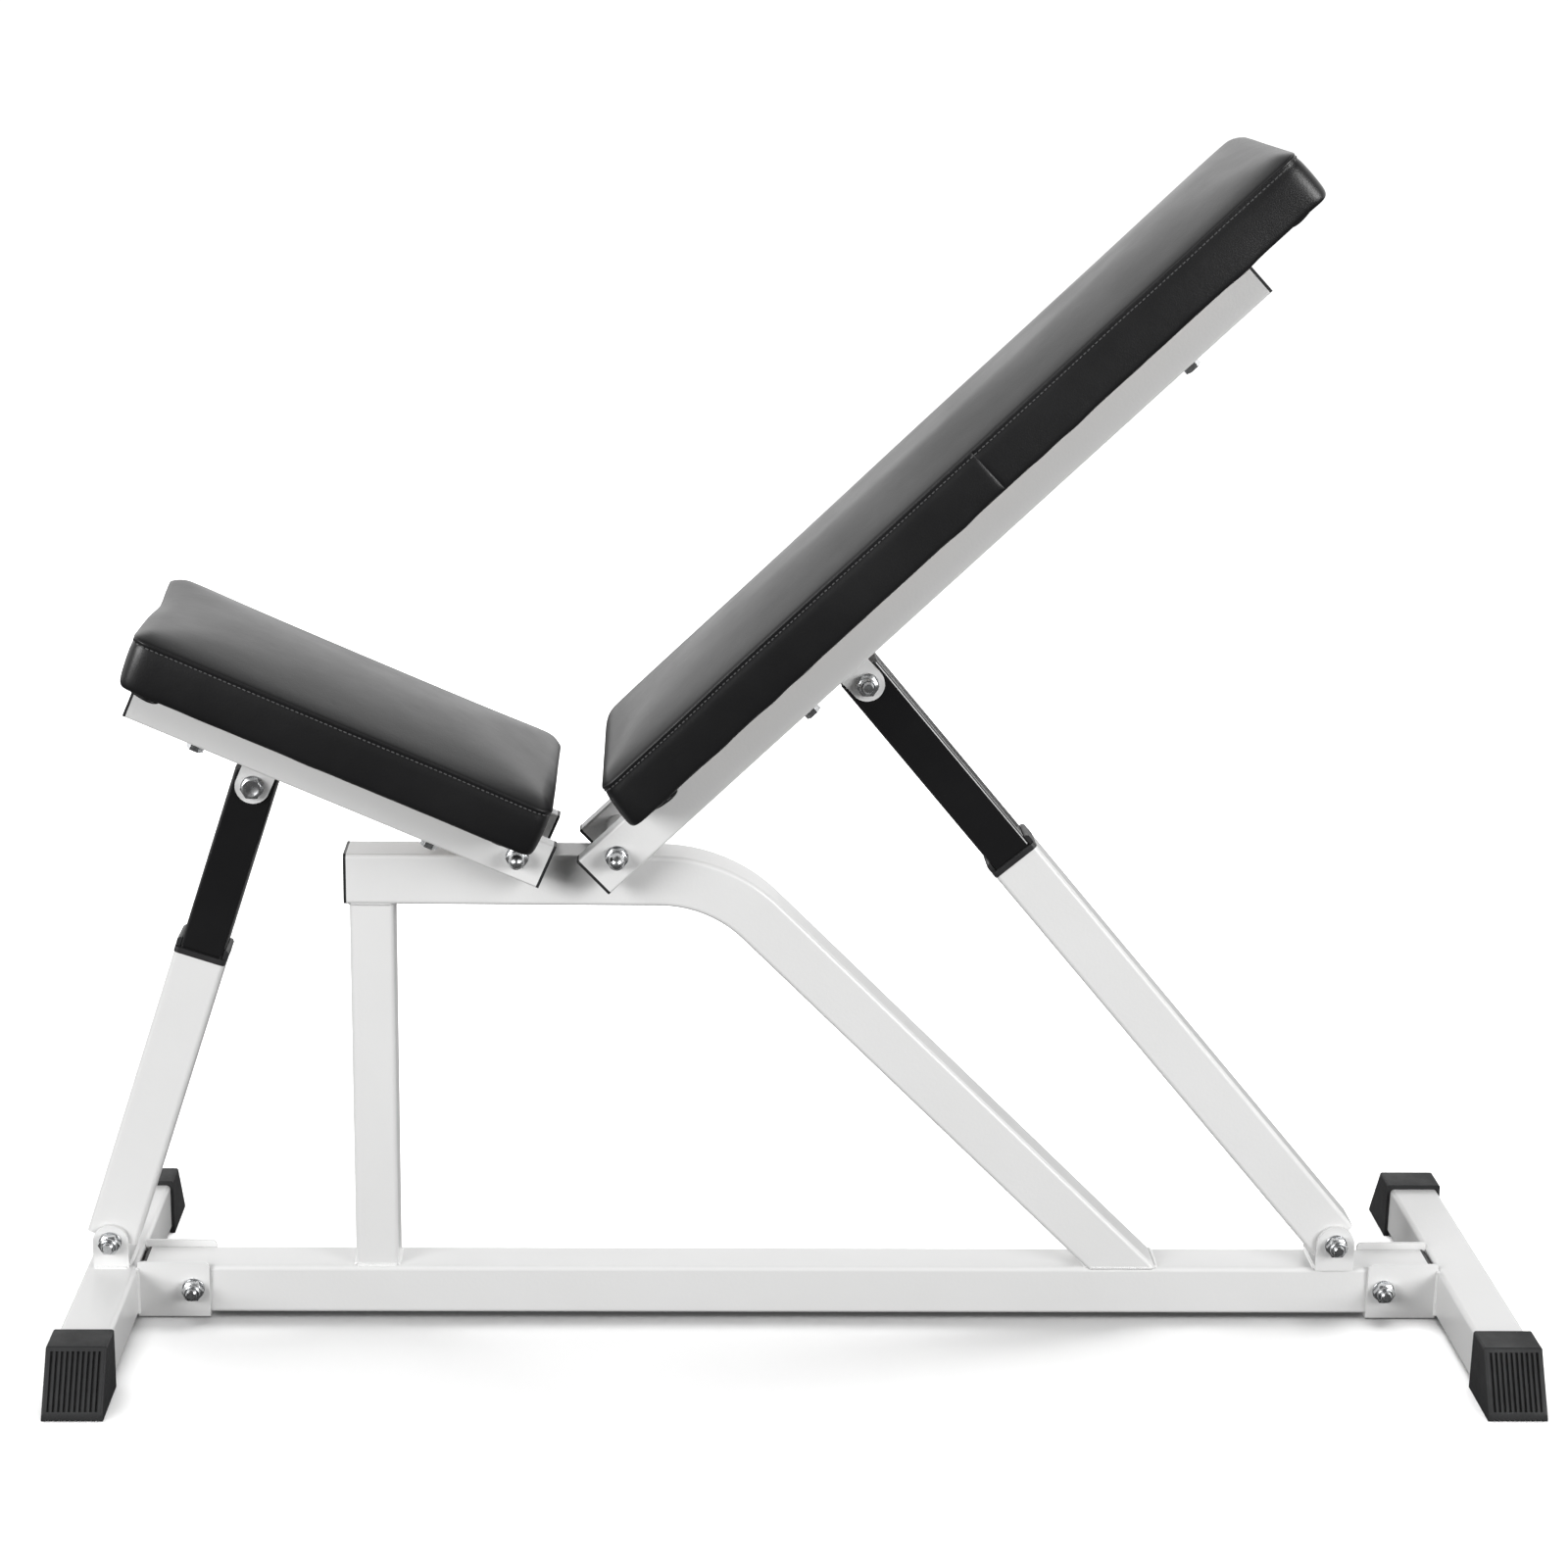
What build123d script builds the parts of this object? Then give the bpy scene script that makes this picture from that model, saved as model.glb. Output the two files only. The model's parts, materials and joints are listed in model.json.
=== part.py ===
from build123d import *
import os
from math import cos, hypot, radians, sin

os.makedirs("parts", exist_ok=True)

# An adjustable weight bench: a bolted steel base, a seat and a back that tilt on the base, and two
# telescopic struts with spring pins that hold them. X runs from the seat end to the back end, Y runs
# across the bench, and Z is up. The origin is on the floor, midway between the two cross tubes.

# ---------------------------------------------------------------- driving dimensions, in millimetres
BASE_SPAN = 1214.0  # between the centre lines of the two cross tubes
TUBE = 45.0  # square steel tube of the base and of the outer struts
WALL = 2.0  # wall of every square tube
CORNER = 4.0  # outer corner radius of the tubes
FIT = 0.3  # gap between pieces that move past each other
TOUCH = 0.1  # gap between pieces that are pushed or bolted together

RAIL_GAP = 6.0  # between the end of the main rail and a cross tube
SOLE = 3.5  # height of the tubes above the floor, held by the foot caps
CROSS_HALF = 189.0  # half the length of a cross tube
CAP_WIDTH = 51.2
CAP_HEIGHT = 53.0
CAP_INNER = 160.0  # where a foot cap's open end starts, measured from the middle of the bench
CAP_TOP_END = 193.0  # where its top ends
CAP_SOLE_END = 224.0  # where its sole ends
CAP_RIBS = 10
RIB_DEPTH = 2.0
CAP_ROUND = 2.2  # rounding of a foot cap's outer edges
CAP_HEEL = 6.5  # height of the nearly upright rim at the sole
CAP_HEEL_IN = 0.8  # how far the rim leans in
RIB_LOW = 1.5  # plain border under the ribs
RIB_BORDERS = 5.5  # plain borders above and below the ribs, together
TREAD_DEPTH = 1.4

BEAM_Z = 410.0  # centre line of the upper beam
BEAM_START_X = -393.5
BEND_RADIUS = 125.0
BEND_ANGLE = 44.5
BEAM_FOOT_X = 296.0  # where the diagonal's centre line meets the top of the main rail
POST = 38.0
POST_X = -372.5

PLATE = 3.0  # bracket plate
BRACKET_LENGTH = 63.5
BRACKET_TOP = 53.5
BRACKET_BOLT = 49.0  # from the cross tube's face to the bracket bolt
BRACKET_BOLT_Z = 28.5
BRACKET_GAP = 0.2  # between the bracket plates and the rail

EAR = 4.0  # clevis ears
FOOT_EAR_HALF = {"front": 15.5, "rear": 17.0}  # half widths of the ears at the struts' feet
FOOT_PLATE = 3.0  # floor of the folded clevis under each strut
PIVOT_RISE = 25.0  # strut foot pivots above the tube they stand on
REAR_FOOT_X = 489.0

PIVOT_Z = 443.0  # seat and back pivots
SEAT_PIVOT_X = -244.5
BACK_PIVOT_X = -160.0
PIVOT_BUSH_R = 10.5

RAIL_DEPTH = 40.0  # rails under the pads
RAIL_WIDTH = 20.0
RAIL_WALL = 1.5
RAIL_CORNER = 2.5
CAP_LIP = 2.5  # what shows of a plastic end cap
RAIL_SIDE = 47.5  # centre line of a rail, from the middle of the bench
SEAT_TILT = 23.15
BACK_TILT = 44.0
SEAT_RAIL = (-27.5, 349.0)  # ends of the seat rails, along them from the pivot
BACK_RAIL = (-28.4, 720.3)
SEAT_PAD = (-5.0, 360.0)  # ends of the pads, along the rails from the pivot
BACK_PAD = (50.0, 797.0)
PAD_WIDTH = 240.0
PAD_HEIGHT = 52.0
PAD_CORNER = 18.0
PAD_EDGE = 11.0
BOARD = 12.0  # plywood inside each pad
BOARD_INSET = 7.0
BAR = 25.0  # square bars between the rails
BAR_UP = -1.5  # centre of the bars, above the middle of the rails
SEAT_CLEVIS = (228.0, -43.5)  # strut bolts, along the rails and above their middle
BACK_CLEVIS = (253.0, -43.0)
SEAT_FRONT_BAR = 322.0
BACK_TOP_BAR = 660.0
SEAT_SCREWS = (72.0, 284.0)
BACK_SCREWS = (206.0, 632.0)
CLEVIS_HALF = 15.0

INNER = 38.0  # inner strut tube
INNER_CORNER = 3.0
INNER_PAST_BOLT = 11.0
OUTER_FOOT = 2.0  # the outer tube starts this far above its pivot
FRONT_OUTER_TOP = 277.0  # top of the outer tube, from its foot pivot
REAR_OUTER_TOP = 468.0
FRONT_INNER_START = 165.0
REAR_INNER_START = 318.0
FRONT_HOLE_PITCH = 29.3
REAR_HOLE_PITCH = 32.35
FRONT_HOLES = 4
REAR_HOLES = 6
COLLAR_FLANGE = 5.0
COLLAR_RISE = 13.0  # top of the two lips that guide the inner tube
COLLAR_LIP = 36.0  # width of those lips
COLLAR_SKIRT = 30.0
FOOT_BUSH_R = 10.0

PIN_DROP = 37.0  # pull pin below the top of the outer tube
PIN_R = 4.0
STEM_R = 3.0
HOUSING_R = 10.0
HOUSING_LENGTH = 25.0
KNOB_R = 17.5
KNOB_LENGTH = 17.0

BOLT_R = 5.0
RUN = 0.06  # radial clearance of a bolt in a part that turns on it
HOLE_R = 5.25  # plain bolt hole
NUT_FLAT = 17.0
NUT_HEIGHT = 9.5
HEAD_HEIGHT = 6.4
WASHER_R = 10.0
WASHER = 2.0
BOLT_END = 4.5  # bolt that shows past its nut
CAP_NUT_R = 6.8  # dome of the cap nuts on the pivot bolts
CAP_NUT_HEIGHT = 22.2
SCREW_R = 4.0
SCREW_FLAT = 13.0
SCREW_HEAD = 5.3

# ---------------------------------------------------------------------------------- derived places
HALF = TUBE / 2
RAIL_Z = SOLE + HALF
TOP_Z = SOLE + TUBE
CROSS_X = BASE_SPAN / 2
FACE_X = CROSS_X - HALF
BEAM_TOP = BEAM_Z + HALF
FOOT_Z = TOP_Z + PIVOT_RISE
EAR_IN = HALF + 0.5
EAR_OUT = EAR_IN + EAR
TOP_EAR_IN = INNER / 2 + 0.75
TOP_EAR_OUT = TOP_EAR_IN + EAR
RAIL_IN = RAIL_SIDE - RAIL_WIDTH / 2
RAIL_OUT = RAIL_SIDE + RAIL_WIDTH / 2


def side_plane(pivot, tilt, towards):
    """A plane seen from the side: x runs along tilted rails, y is away from them, on the pad's side."""
    a = radians(tilt)
    across = -towards
    return Plane(origin=pivot, x_dir=(towards * cos(a), 0, sin(a)), z_dir=(0, across, 0))


def place(plane, along, up, y=0.0):
    """A point given along and above a side plane, at height y across the bench."""
    p = plane.from_local_coords(Vector(along, up, 0))
    return Vector(p.X, y, p.Z)


def save(piece, name):
    """Labels a finished piece and writes its STEP file."""
    piece.part.label = name
    export_step(piece.part, f"parts/{name}.step")


def across(x, z, y):
    """A plane that faces +Y, at one point of the side view."""
    return Plane(origin=(x, y, z), x_dir=(1, 0, 0), z_dir=(0, 1, 0))


SEAT = side_plane((SEAT_PIVOT_X, 0, PIVOT_Z), SEAT_TILT, -1)
BACK = side_plane((BACK_PIVOT_X, 0, PIVOT_Z), BACK_TILT, 1)
FRONT_FOOT = Vector(-CROSS_X, 0, FOOT_Z)
REAR_FOOT = Vector(REAR_FOOT_X, 0, FOOT_Z)
SEAT_BOLT = place(SEAT, *SEAT_CLEVIS)
BACK_BOLT = place(BACK, *BACK_CLEVIS)


def section(width=TUBE, depth=TUBE, wall=WALL, corner=CORNER):
    """The cross section of a rectangular tube."""
    with BuildSketch() as made:
        RectangleRounded(width, depth, corner)
        RectangleRounded(width - 2 * wall, depth - 2 * wall, corner - wall, mode=Mode.SUBTRACT)
    return made.sketch


def end_caps(planes, width, depth, wall, corner, lip=CAP_LIP, plug=14.0):
    """Plastic caps on tube ends. Each plane's normal points out of the tube, at the tube's end."""
    hollow = 3.0
    inner_w = width - 2 * wall - 2 * TOUCH
    inner_d = depth - 2 * wall - 2 * TOUCH
    with BuildPart() as made:
        with BuildSketch(*planes):
            RectangleRounded(width, depth, corner)
        extrude(amount=lip)
        with BuildSketch(*planes):
            RectangleRounded(inner_w, inner_d, corner - wall)
            Rectangle(inner_w - hollow, inner_d - hollow, mode=Mode.SUBTRACT)
        extrude(amount=-plug)
    return made.part


# ------------------------------------------------------------------------------ base: tubes and welds
rail_half = FACE_X - RAIL_GAP
with BuildPart() as main_rail:
    with BuildSketch(Plane(origin=(0, 0, RAIL_Z), x_dir=(0, 1, 0), z_dir=(1, 0, 0))):
        add(section())
    extrude(amount=rail_half, both=True)
    for s in (-1, 1):
        with Locations(Location((s * (FACE_X - BRACKET_BOLT), 0, BRACKET_BOLT_Z), (90, 0, 0))):
            Cylinder(HOLE_R, TUBE + 2, mode=Mode.SUBTRACT)
save(main_rail, "main_rail")

rail_ends = [Plane(origin=(s * rail_half, 0, RAIL_Z), x_dir=(0, 1, 0), z_dir=(s, 0, 0)) for s in (-1, 1)]
with BuildPart() as rail_end_plugs:
    add(end_caps(rail_ends, TUBE, TUBE, WALL, CORNER))
save(rail_end_plugs, "rail_end_plugs")

with BuildPart() as front_post:
    with BuildSketch(Plane(origin=(POST_X, 0, TOP_Z))):
        add(section(POST, POST))
    extrude(amount=BEAM_Z - HALF - TOP_Z)
save(front_post, "front_post")

# The upper beam is one tube: level over the post, bent, then down to the main rail, where it is cut flat.
drop = BEAM_Z - TOP_Z
slope = radians(BEND_ANGLE)
knee_x = BEAM_FOOT_X - drop * cos(slope) / sin(slope)
past = 60.0
with BuildPart() as upper_beam:
    with BuildLine(Plane.XZ) as beam_path:
        FilletPolyline(
            (BEAM_START_X, BEAM_Z),
            (knee_x, BEAM_Z),
            (BEAM_FOOT_X + past * cos(slope), TOP_Z - past * sin(slope)),
            radius=BEND_RADIUS,
        )
    with BuildSketch(Plane(origin=(BEAM_START_X, 0, BEAM_Z), x_dir=(0, 1, 0), z_dir=(1, 0, 0))):
        add(section())
    sweep(path=beam_path.wires()[0])
    split(bisect_by=Plane.XY.offset(TOP_Z), keep=Keep.TOP)
save(upper_beam, "upper_beam")

beam_end = Plane(origin=(BEAM_START_X, 0, BEAM_Z), x_dir=(0, 1, 0), z_dir=(-1, 0, 0))
with BuildPart() as beam_end_cap:
    add(end_caps([beam_end], TUBE, TUBE, WALL, CORNER))
save(beam_end_cap, "beam_end_cap")

for end, s in (("front", -1), ("rear", 1)):
    with BuildPart() as cross_tube:
        with BuildSketch(across(s * CROSS_X, RAIL_Z, 0)):
            add(section())
        extrude(amount=CROSS_HALF, both=True)
    save(cross_tube, f"{end}_cross_tube")

    # A folded plate that the main rail drops into, welded to the cross tube's face.
    wall_in = HALF + BRACKET_GAP
    middle = s * (FACE_X - BRACKET_LENGTH / 2)
    web_top = SOLE - TOUCH
    with BuildPart() as bracket:
        with BuildSketch(Plane(origin=(middle, 0, 0), x_dir=(0, 1, 0), z_dir=(1, 0, 0))):
            with BuildLine():
                Polyline(
                    (-wall_in - PLATE, web_top - PLATE),
                    (wall_in + PLATE, web_top - PLATE),
                    (wall_in + PLATE, BRACKET_TOP),
                    (wall_in, BRACKET_TOP),
                    (wall_in, web_top),
                    (-wall_in, web_top),
                    (-wall_in, BRACKET_TOP),
                    (-wall_in - PLATE, BRACKET_TOP),
                    close=True,
                )
            make_face()
        extrude(amount=BRACKET_LENGTH / 2, both=True)
        fillet(bracket.edges().filter_by(Axis.X).group_by(Axis.Z)[0], 2.0)
        tips = [e for e in bracket.edges().filter_by(Axis.Y) if e.center().Z > BRACKET_TOP - 1]
        free = [e for e in tips if abs(e.center().X) < FACE_X - BRACKET_LENGTH / 2]
        fillet(free, 5.0)
        with Locations(Location((s * (FACE_X - BRACKET_BOLT), 0, BRACKET_BOLT_Z), (90, 0, 0))):
            Cylinder(HOLE_R, 2 * (wall_in + PLATE) + 2, mode=Mode.SUBTRACT)
    save(bracket, f"{end}_bracket")

# ----------------------------------------------------------------------------------- base: foot caps
rib_pitch = (CAP_WIDTH - 7.0) / CAP_RIBS
heel_end = CAP_SOLE_END - CAP_HEEL_IN
face_run = heel_end - CAP_TOP_END
face_rise = CAP_HEIGHT - CAP_HEEL
face_length = hypot(face_run, face_rise)
for end, sx in (("front", -1), ("rear", 1)):
    for hand, sy in (("left", -1), ("right", 1)):
        centre_x = sx * CROSS_X
        with BuildPart() as foot_cap:
            with BuildSketch(Plane(origin=(centre_x, 0, 0), x_dir=(0, sy, 0), z_dir=(sy, 0, 0))):
                with BuildLine():
                    Polyline(
                        (CAP_INNER, 0.0),
                        (CAP_SOLE_END, 0.0),
                        (heel_end, CAP_HEEL),
                        (CAP_TOP_END, CAP_HEIGHT),
                        (CAP_INNER, CAP_HEIGHT),
                        close=True,
                    )
                make_face()
            extrude(amount=CAP_WIDTH / 2, both=True)
            outer_edges = foot_cap.edges().filter_by(lambda e: abs(e.center().Y) > CAP_INNER + 1)
            sides_and_top = outer_edges.filter_by(lambda e: e.center().Z > CAP_HEEL / 2)
            heel_line = sides_and_top.filter_by(Axis.X).sort_by(Axis.Z)[0]
            fillet([e for e in sides_and_top if e != heel_line], CAP_ROUND)
            # The pocket that the cross tube fits.
            mouth = Plane(origin=(centre_x, sy * CAP_INNER, RAIL_Z), x_dir=(1, 0, 0), z_dir=(0, sy, 0))
            with BuildSketch(mouth):
                RectangleRounded(TUBE + 2 * TOUCH, TUBE + 2 * TOUCH, CORNER)
            extrude(amount=CROSS_HALF - CAP_INNER + TOUCH, mode=Mode.SUBTRACT)
            # Upright grooves on the slanted face, and tread grooves under the sole.
            lean = Vector(0, -sy * face_run, face_rise).normalized()
            out = Vector(0, sy * face_rise, face_run).normalized()
            rise = RIB_LOW + (face_length - RIB_BORDERS) / 2
            middle = Vector(centre_x, sy * heel_end, CAP_HEEL) + lean * rise
            panel = Plane(origin=middle + out, x_dir=(1, 0, 0), z_dir=out)
            with BuildSketch(panel):
                with GridLocations(rib_pitch, 1, CAP_RIBS, 1):
                    Rectangle(rib_pitch * 0.56, face_length - RIB_BORDERS)
            extrude(amount=-RIB_DEPTH - 1, mode=Mode.SUBTRACT)
            with BuildSketch(Plane(origin=(centre_x, sy * (CAP_INNER + CAP_SOLE_END) / 2, 0))):
                with GridLocations(rib_pitch, 1, CAP_RIBS, 1):
                    Rectangle(rib_pitch * 0.45, CAP_SOLE_END - CAP_INNER + 2)
            extrude(amount=TREAD_DEPTH, mode=Mode.SUBTRACT)
        save(foot_cap, f"foot_cap_{end}_{hand}")


# ------------------------------------------------------------------------------ base: strut clevises
def ears(plane, half, reach, inside, hole=HOLE_R):
    """Two round-topped plates, one each side of a tube. They run from the plane's x axis up to a bolt."""
    with BuildPart() as made:
        for side in (-1, 1):
            with BuildSketch(plane.offset(side * (inside + EAR / 2))):
                with Locations((0, reach / 2)):
                    Rectangle(2 * half, reach)
                with Locations((0, reach)):
                    Circle(half)
                    Circle(hole, mode=Mode.SUBTRACT)
            extrude(amount=EAR / 2, both=True)
    return made.part


for end, x in (("front", -CROSS_X), ("rear", REAR_FOOT_X)):
    half = FOOT_EAR_HALF[end]
    with BuildPart() as base_clevis:
        add(ears(Plane(origin=(x, 0, TOP_Z), x_dir=(1, 0, 0), z_dir=(0, -1, 0)), half, PIVOT_RISE, EAR_IN))
        with BuildSketch(Plane(origin=(x, 0, TOP_Z))):
            Rectangle(2 * half, 2 * EAR_OUT)
        extrude(amount=FOOT_PLATE)
    save(base_clevis, f"{end}_base_clevis")

# ---------------------------------------------------------------------- base: pivot bushes on the beam
with BuildPart() as pivot_bushes:
    for x in (SEAT_PIVOT_X, BACK_PIVOT_X):
        with BuildSketch(across(x, PIVOT_Z, 0)):
            Circle(PIVOT_BUSH_R)
            Circle(HOLE_R, mode=Mode.SUBTRACT)
        extrude(amount=RAIL_IN - FIT, both=True)
    chamfer(pivot_bushes.edges().filter_by(GeomType.CIRCLE).filter_by(lambda e: e.radius > HOLE_R + 1), 0.8)
save(pivot_bushes, "pivot_bushes")


# ------------------------------------------------------------------------------------ base: hardware
def bolt(x, z, half):
    """A hexagon bolt across the bench: its head is on the +Y side, and half is the clamped half width."""
    grip = half + WASHER
    with BuildPart() as made:
        with BuildSketch(across(x, z, grip)):
            RegularPolygon(NUT_FLAT / 2, 6, major_radius=False)
        extrude(amount=HEAD_HEIGHT)
        with BuildSketch(across(x, z, grip)):
            Circle(BOLT_R)
        extrude(amount=-(2 * grip + NUT_HEIGHT + BOLT_END))
        chamfer(made.edges().filter_by(GeomType.CIRCLE).sort_by(Axis.Y)[0], 0.8)
    return made.part


def nut(x, z, half):
    """A lock nut on the -Y side: a hexagon with a round collar."""
    flat = NUT_HEIGHT * 0.7
    face = -(half + WASHER)
    with BuildPart() as made:
        with BuildSketch(across(x, z, face)):
            RegularPolygon(NUT_FLAT / 2, 6, major_radius=False)
            Circle(BOLT_R, mode=Mode.SUBTRACT)
        extrude(amount=-flat)
        with BuildSketch(across(x, z, face - flat)):
            Circle(NUT_FLAT / 2 - 1.2)
            Circle(BOLT_R, mode=Mode.SUBTRACT)
        extrude(amount=-(NUT_HEIGHT - flat))
    return made.part


def cap_nut(x, z, half):
    """A domed nut on the -Y side, which hides the end of its bolt."""
    face = -(half + WASHER)
    with BuildPart() as made:
        with BuildSketch(across(x, z, face)):
            RegularPolygon(NUT_FLAT / 2, 6, major_radius=False)
        extrude(amount=-NUT_HEIGHT * 0.7)
        with BuildSketch(across(x, z, face)):
            Circle(CAP_NUT_R)
        extrude(amount=-CAP_NUT_HEIGHT)
        fillet(made.edges().filter_by(GeomType.CIRCLE).sort_by(Axis.Y)[0], CAP_NUT_R * 0.6)
        with BuildSketch(across(x, z, face)):
            Circle(BOLT_R)
        extrude(amount=-(NUT_HEIGHT + BOLT_END + FIT), mode=Mode.SUBTRACT)
    return made.part


def washers(x, z, half):
    """A washer on each side."""
    with BuildPart() as made:
        for face, way in ((half, 1), (-half, -1)):
            with BuildSketch(across(x, z, face)):
                Circle(WASHER_R)
                Circle(BOLT_R, mode=Mode.SUBTRACT)
            extrude(amount=way * WASHER)
    return made.part


bracket_half = HALF + BRACKET_GAP + PLATE
pivot_half = RAIL_OUT + FIT
bracket_joints = [(s * (FACE_X - BRACKET_BOLT), BRACKET_BOLT_Z, bracket_half) for s in (-1, 1)]
foot_joints = [(-CROSS_X, FOOT_Z, EAR_OUT), (REAR_FOOT_X, FOOT_Z, EAR_OUT)]
pivot_joints = [(SEAT_PIVOT_X, PIVOT_Z, pivot_half), (BACK_PIVOT_X, PIVOT_Z, pivot_half)]

bolt_groups = {"bracket_bolts": bracket_joints, "strut_foot_bolts": foot_joints, "pivot_bolts": pivot_joints}
for name, joints in bolt_groups.items():
    with BuildPart() as bolts:
        for joint in joints:
            add(bolt(*joint))
    save(bolts, name)

with BuildPart() as base_lock_nuts:
    for joint in bracket_joints + foot_joints:
        add(nut(*joint))
save(base_lock_nuts, "base_lock_nuts")

with BuildPart() as pivot_cap_nuts:
    for joint in pivot_joints:
        add(cap_nut(*joint))
save(pivot_cap_nuts, "pivot_cap_nuts")

with BuildPart() as base_washers:
    for joint in bracket_joints + foot_joints + pivot_joints:
        add(washers(*joint))
save(base_washers, "base_washers")


# ---------------------------------------------------------------------------------- seat and back
def tilting_frame(name, plane, rail, pad, clevis, far_bar, screws, far_name, bolt_turned):
    """The pieces of the seat or the back, which are alike but for their lengths and the way a bolt faces."""
    along = plane.x_dir
    up = plane.y_dir
    length = rail[1] - rail[0] - 2 * CAP_LIP

    for hand, sy in (("left", -1), ("right", 1)):
        start = place(plane, rail[0] + CAP_LIP, 0, sy * RAIL_SIDE)
        with BuildPart() as side_rail:
            with BuildSketch(Plane(origin=start, x_dir=(0, 1, 0), z_dir=along)):
                add(section(RAIL_WIDTH, RAIL_DEPTH, RAIL_WALL, RAIL_CORNER))
            extrude(amount=length)
            with Locations(Location(place(plane, 0, 0, sy * RAIL_SIDE), (90, 0, 0))):
                Cylinder(BOLT_R + RUN, RAIL_WIDTH + 2, mode=Mode.SUBTRACT)
            for s in screws:
                foot = place(plane, s, -RAIL_DEPTH / 2 - 1, sy * RAIL_SIDE)
                with BuildSketch(Plane(origin=foot, z_dir=up)):
                    Circle(SCREW_R + 0.2)
                extrude(amount=RAIL_DEPTH + 2, mode=Mode.SUBTRACT)
        save(side_rail, f"{name}_rail_{hand}")

    ends = []
    for sy in (-1, 1):
        for where, out in ((rail[0] + CAP_LIP, -along), (rail[1] - CAP_LIP, along)):
            ends.append(Plane(origin=place(plane, where, 0, sy * RAIL_SIDE), x_dir=(0, 1, 0), z_dir=out))
    with BuildPart() as rail_caps:
        add(end_caps(ends, RAIL_WIDTH, RAIL_DEPTH, RAIL_WALL, RAIL_CORNER))
    save(rail_caps, f"{name}_rail_caps")

    for bar_name, where in ((f"{name}_clevis_bar", clevis[0]), (f"{name}_{far_name}_bar", far_bar)):
        with BuildPart() as bar:
            with BuildSketch(Plane(origin=place(plane, where, BAR_UP), x_dir=along, z_dir=(0, 1, 0))):
                add(section(BAR, BAR, RAIL_WALL, RAIL_CORNER))
            extrude(amount=RAIL_IN, both=True)
        save(bar, bar_name)

    bar_bottom = BAR_UP - BAR / 2
    ear_foot = place(plane, clevis[0], bar_bottom)
    hang = Plane(origin=ear_foot, x_dir=-along, z_dir=plane.z_dir)
    with BuildPart() as clevis_ears:
        add(ears(hang, CLEVIS_HALF, bar_bottom - clevis[1], TOP_EAR_IN))
    save(clevis_ears, f"{name}_clevis")

    # The clevis bolt has no middle, so that the strut's top end stays free of it over the whole travel.
    spot = place(plane, *clevis)
    with BuildPart() as strut_bolt:
        add(bolt(spot.X, spot.Z, TOP_EAR_OUT))
        add(washers(spot.X, spot.Z, TOP_EAR_OUT))
        add(nut(spot.X, spot.Z, TOP_EAR_OUT))
        with Locations(Location((spot.X, 0, spot.Z), (90, 0, 0))):
            Cylinder(BOLT_R + 1, 2 * TOP_EAR_IN, mode=Mode.SUBTRACT)
        if bolt_turned:
            mirror(about=Plane.XZ, mode=Mode.REPLACE)
    save(strut_bolt, f"{name}_strut_bolt")

    rail_top = RAIL_DEPTH / 2
    centre = (pad[0] + pad[1]) / 2
    pad_length = pad[1] - pad[0]
    flat = Plane(origin=place(plane, centre, rail_top), x_dir=(0, 1, 0), z_dir=up)
    board_size = (PAD_WIDTH - 2 * BOARD_INSET, pad_length - 2 * BOARD_INSET)
    with BuildPart() as board:
        with BuildSketch(flat):
            RectangleRounded(*board_size, PAD_CORNER - BOARD_INSET)
        extrude(amount=BOARD)
        for s in screws:
            for sy in (-1, 1):
                with BuildSketch(Plane(origin=place(plane, s, rail_top - 1, sy * RAIL_SIDE), z_dir=up)):
                    Circle(SCREW_R)
                extrude(amount=BOARD - 1, mode=Mode.SUBTRACT)
    save(board, f"{name}_board")

    with BuildPart() as cushion:
        with BuildSketch(flat.offset(TOUCH)):
            RectangleRounded(PAD_WIDTH, pad_length, PAD_CORNER)
        extrude(amount=PAD_HEIGHT - TOUCH)
        rim = cushion.faces().sort_by(Axis(flat.origin, flat.z_dir))[-1].edges()
        fillet(rim, PAD_EDGE)
        with BuildSketch(flat):
            RectangleRounded(board_size[0] + 2 * TOUCH, board_size[1] + 2 * TOUCH, PAD_CORNER - BOARD_INSET)
        extrude(amount=BOARD + TOUCH, mode=Mode.SUBTRACT)
    save(cushion, f"{name}_pad")

    with BuildPart() as pad_screws:
        for s in screws:
            for sy in (-1, 1):
                seat_of_head = Plane(origin=place(plane, s, -rail_top, sy * RAIL_SIDE), z_dir=up)
                with BuildSketch(seat_of_head):
                    RegularPolygon(SCREW_FLAT / 2, 6, major_radius=False)
                extrude(amount=-SCREW_HEAD)
                with BuildSketch(seat_of_head):
                    Circle(SCREW_R - TOUCH)
                extrude(amount=RAIL_DEPTH + BOARD - 3)
    save(pad_screws, f"{name}_pad_screws")


tilting_frame("seat", SEAT, SEAT_RAIL, SEAT_PAD, SEAT_CLEVIS, SEAT_FRONT_BAR, SEAT_SCREWS, "front", True)
tilting_frame("back", BACK, BACK_RAIL, BACK_PAD, BACK_CLEVIS, BACK_TOP_BAR, BACK_SCREWS, "top", False)


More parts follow.
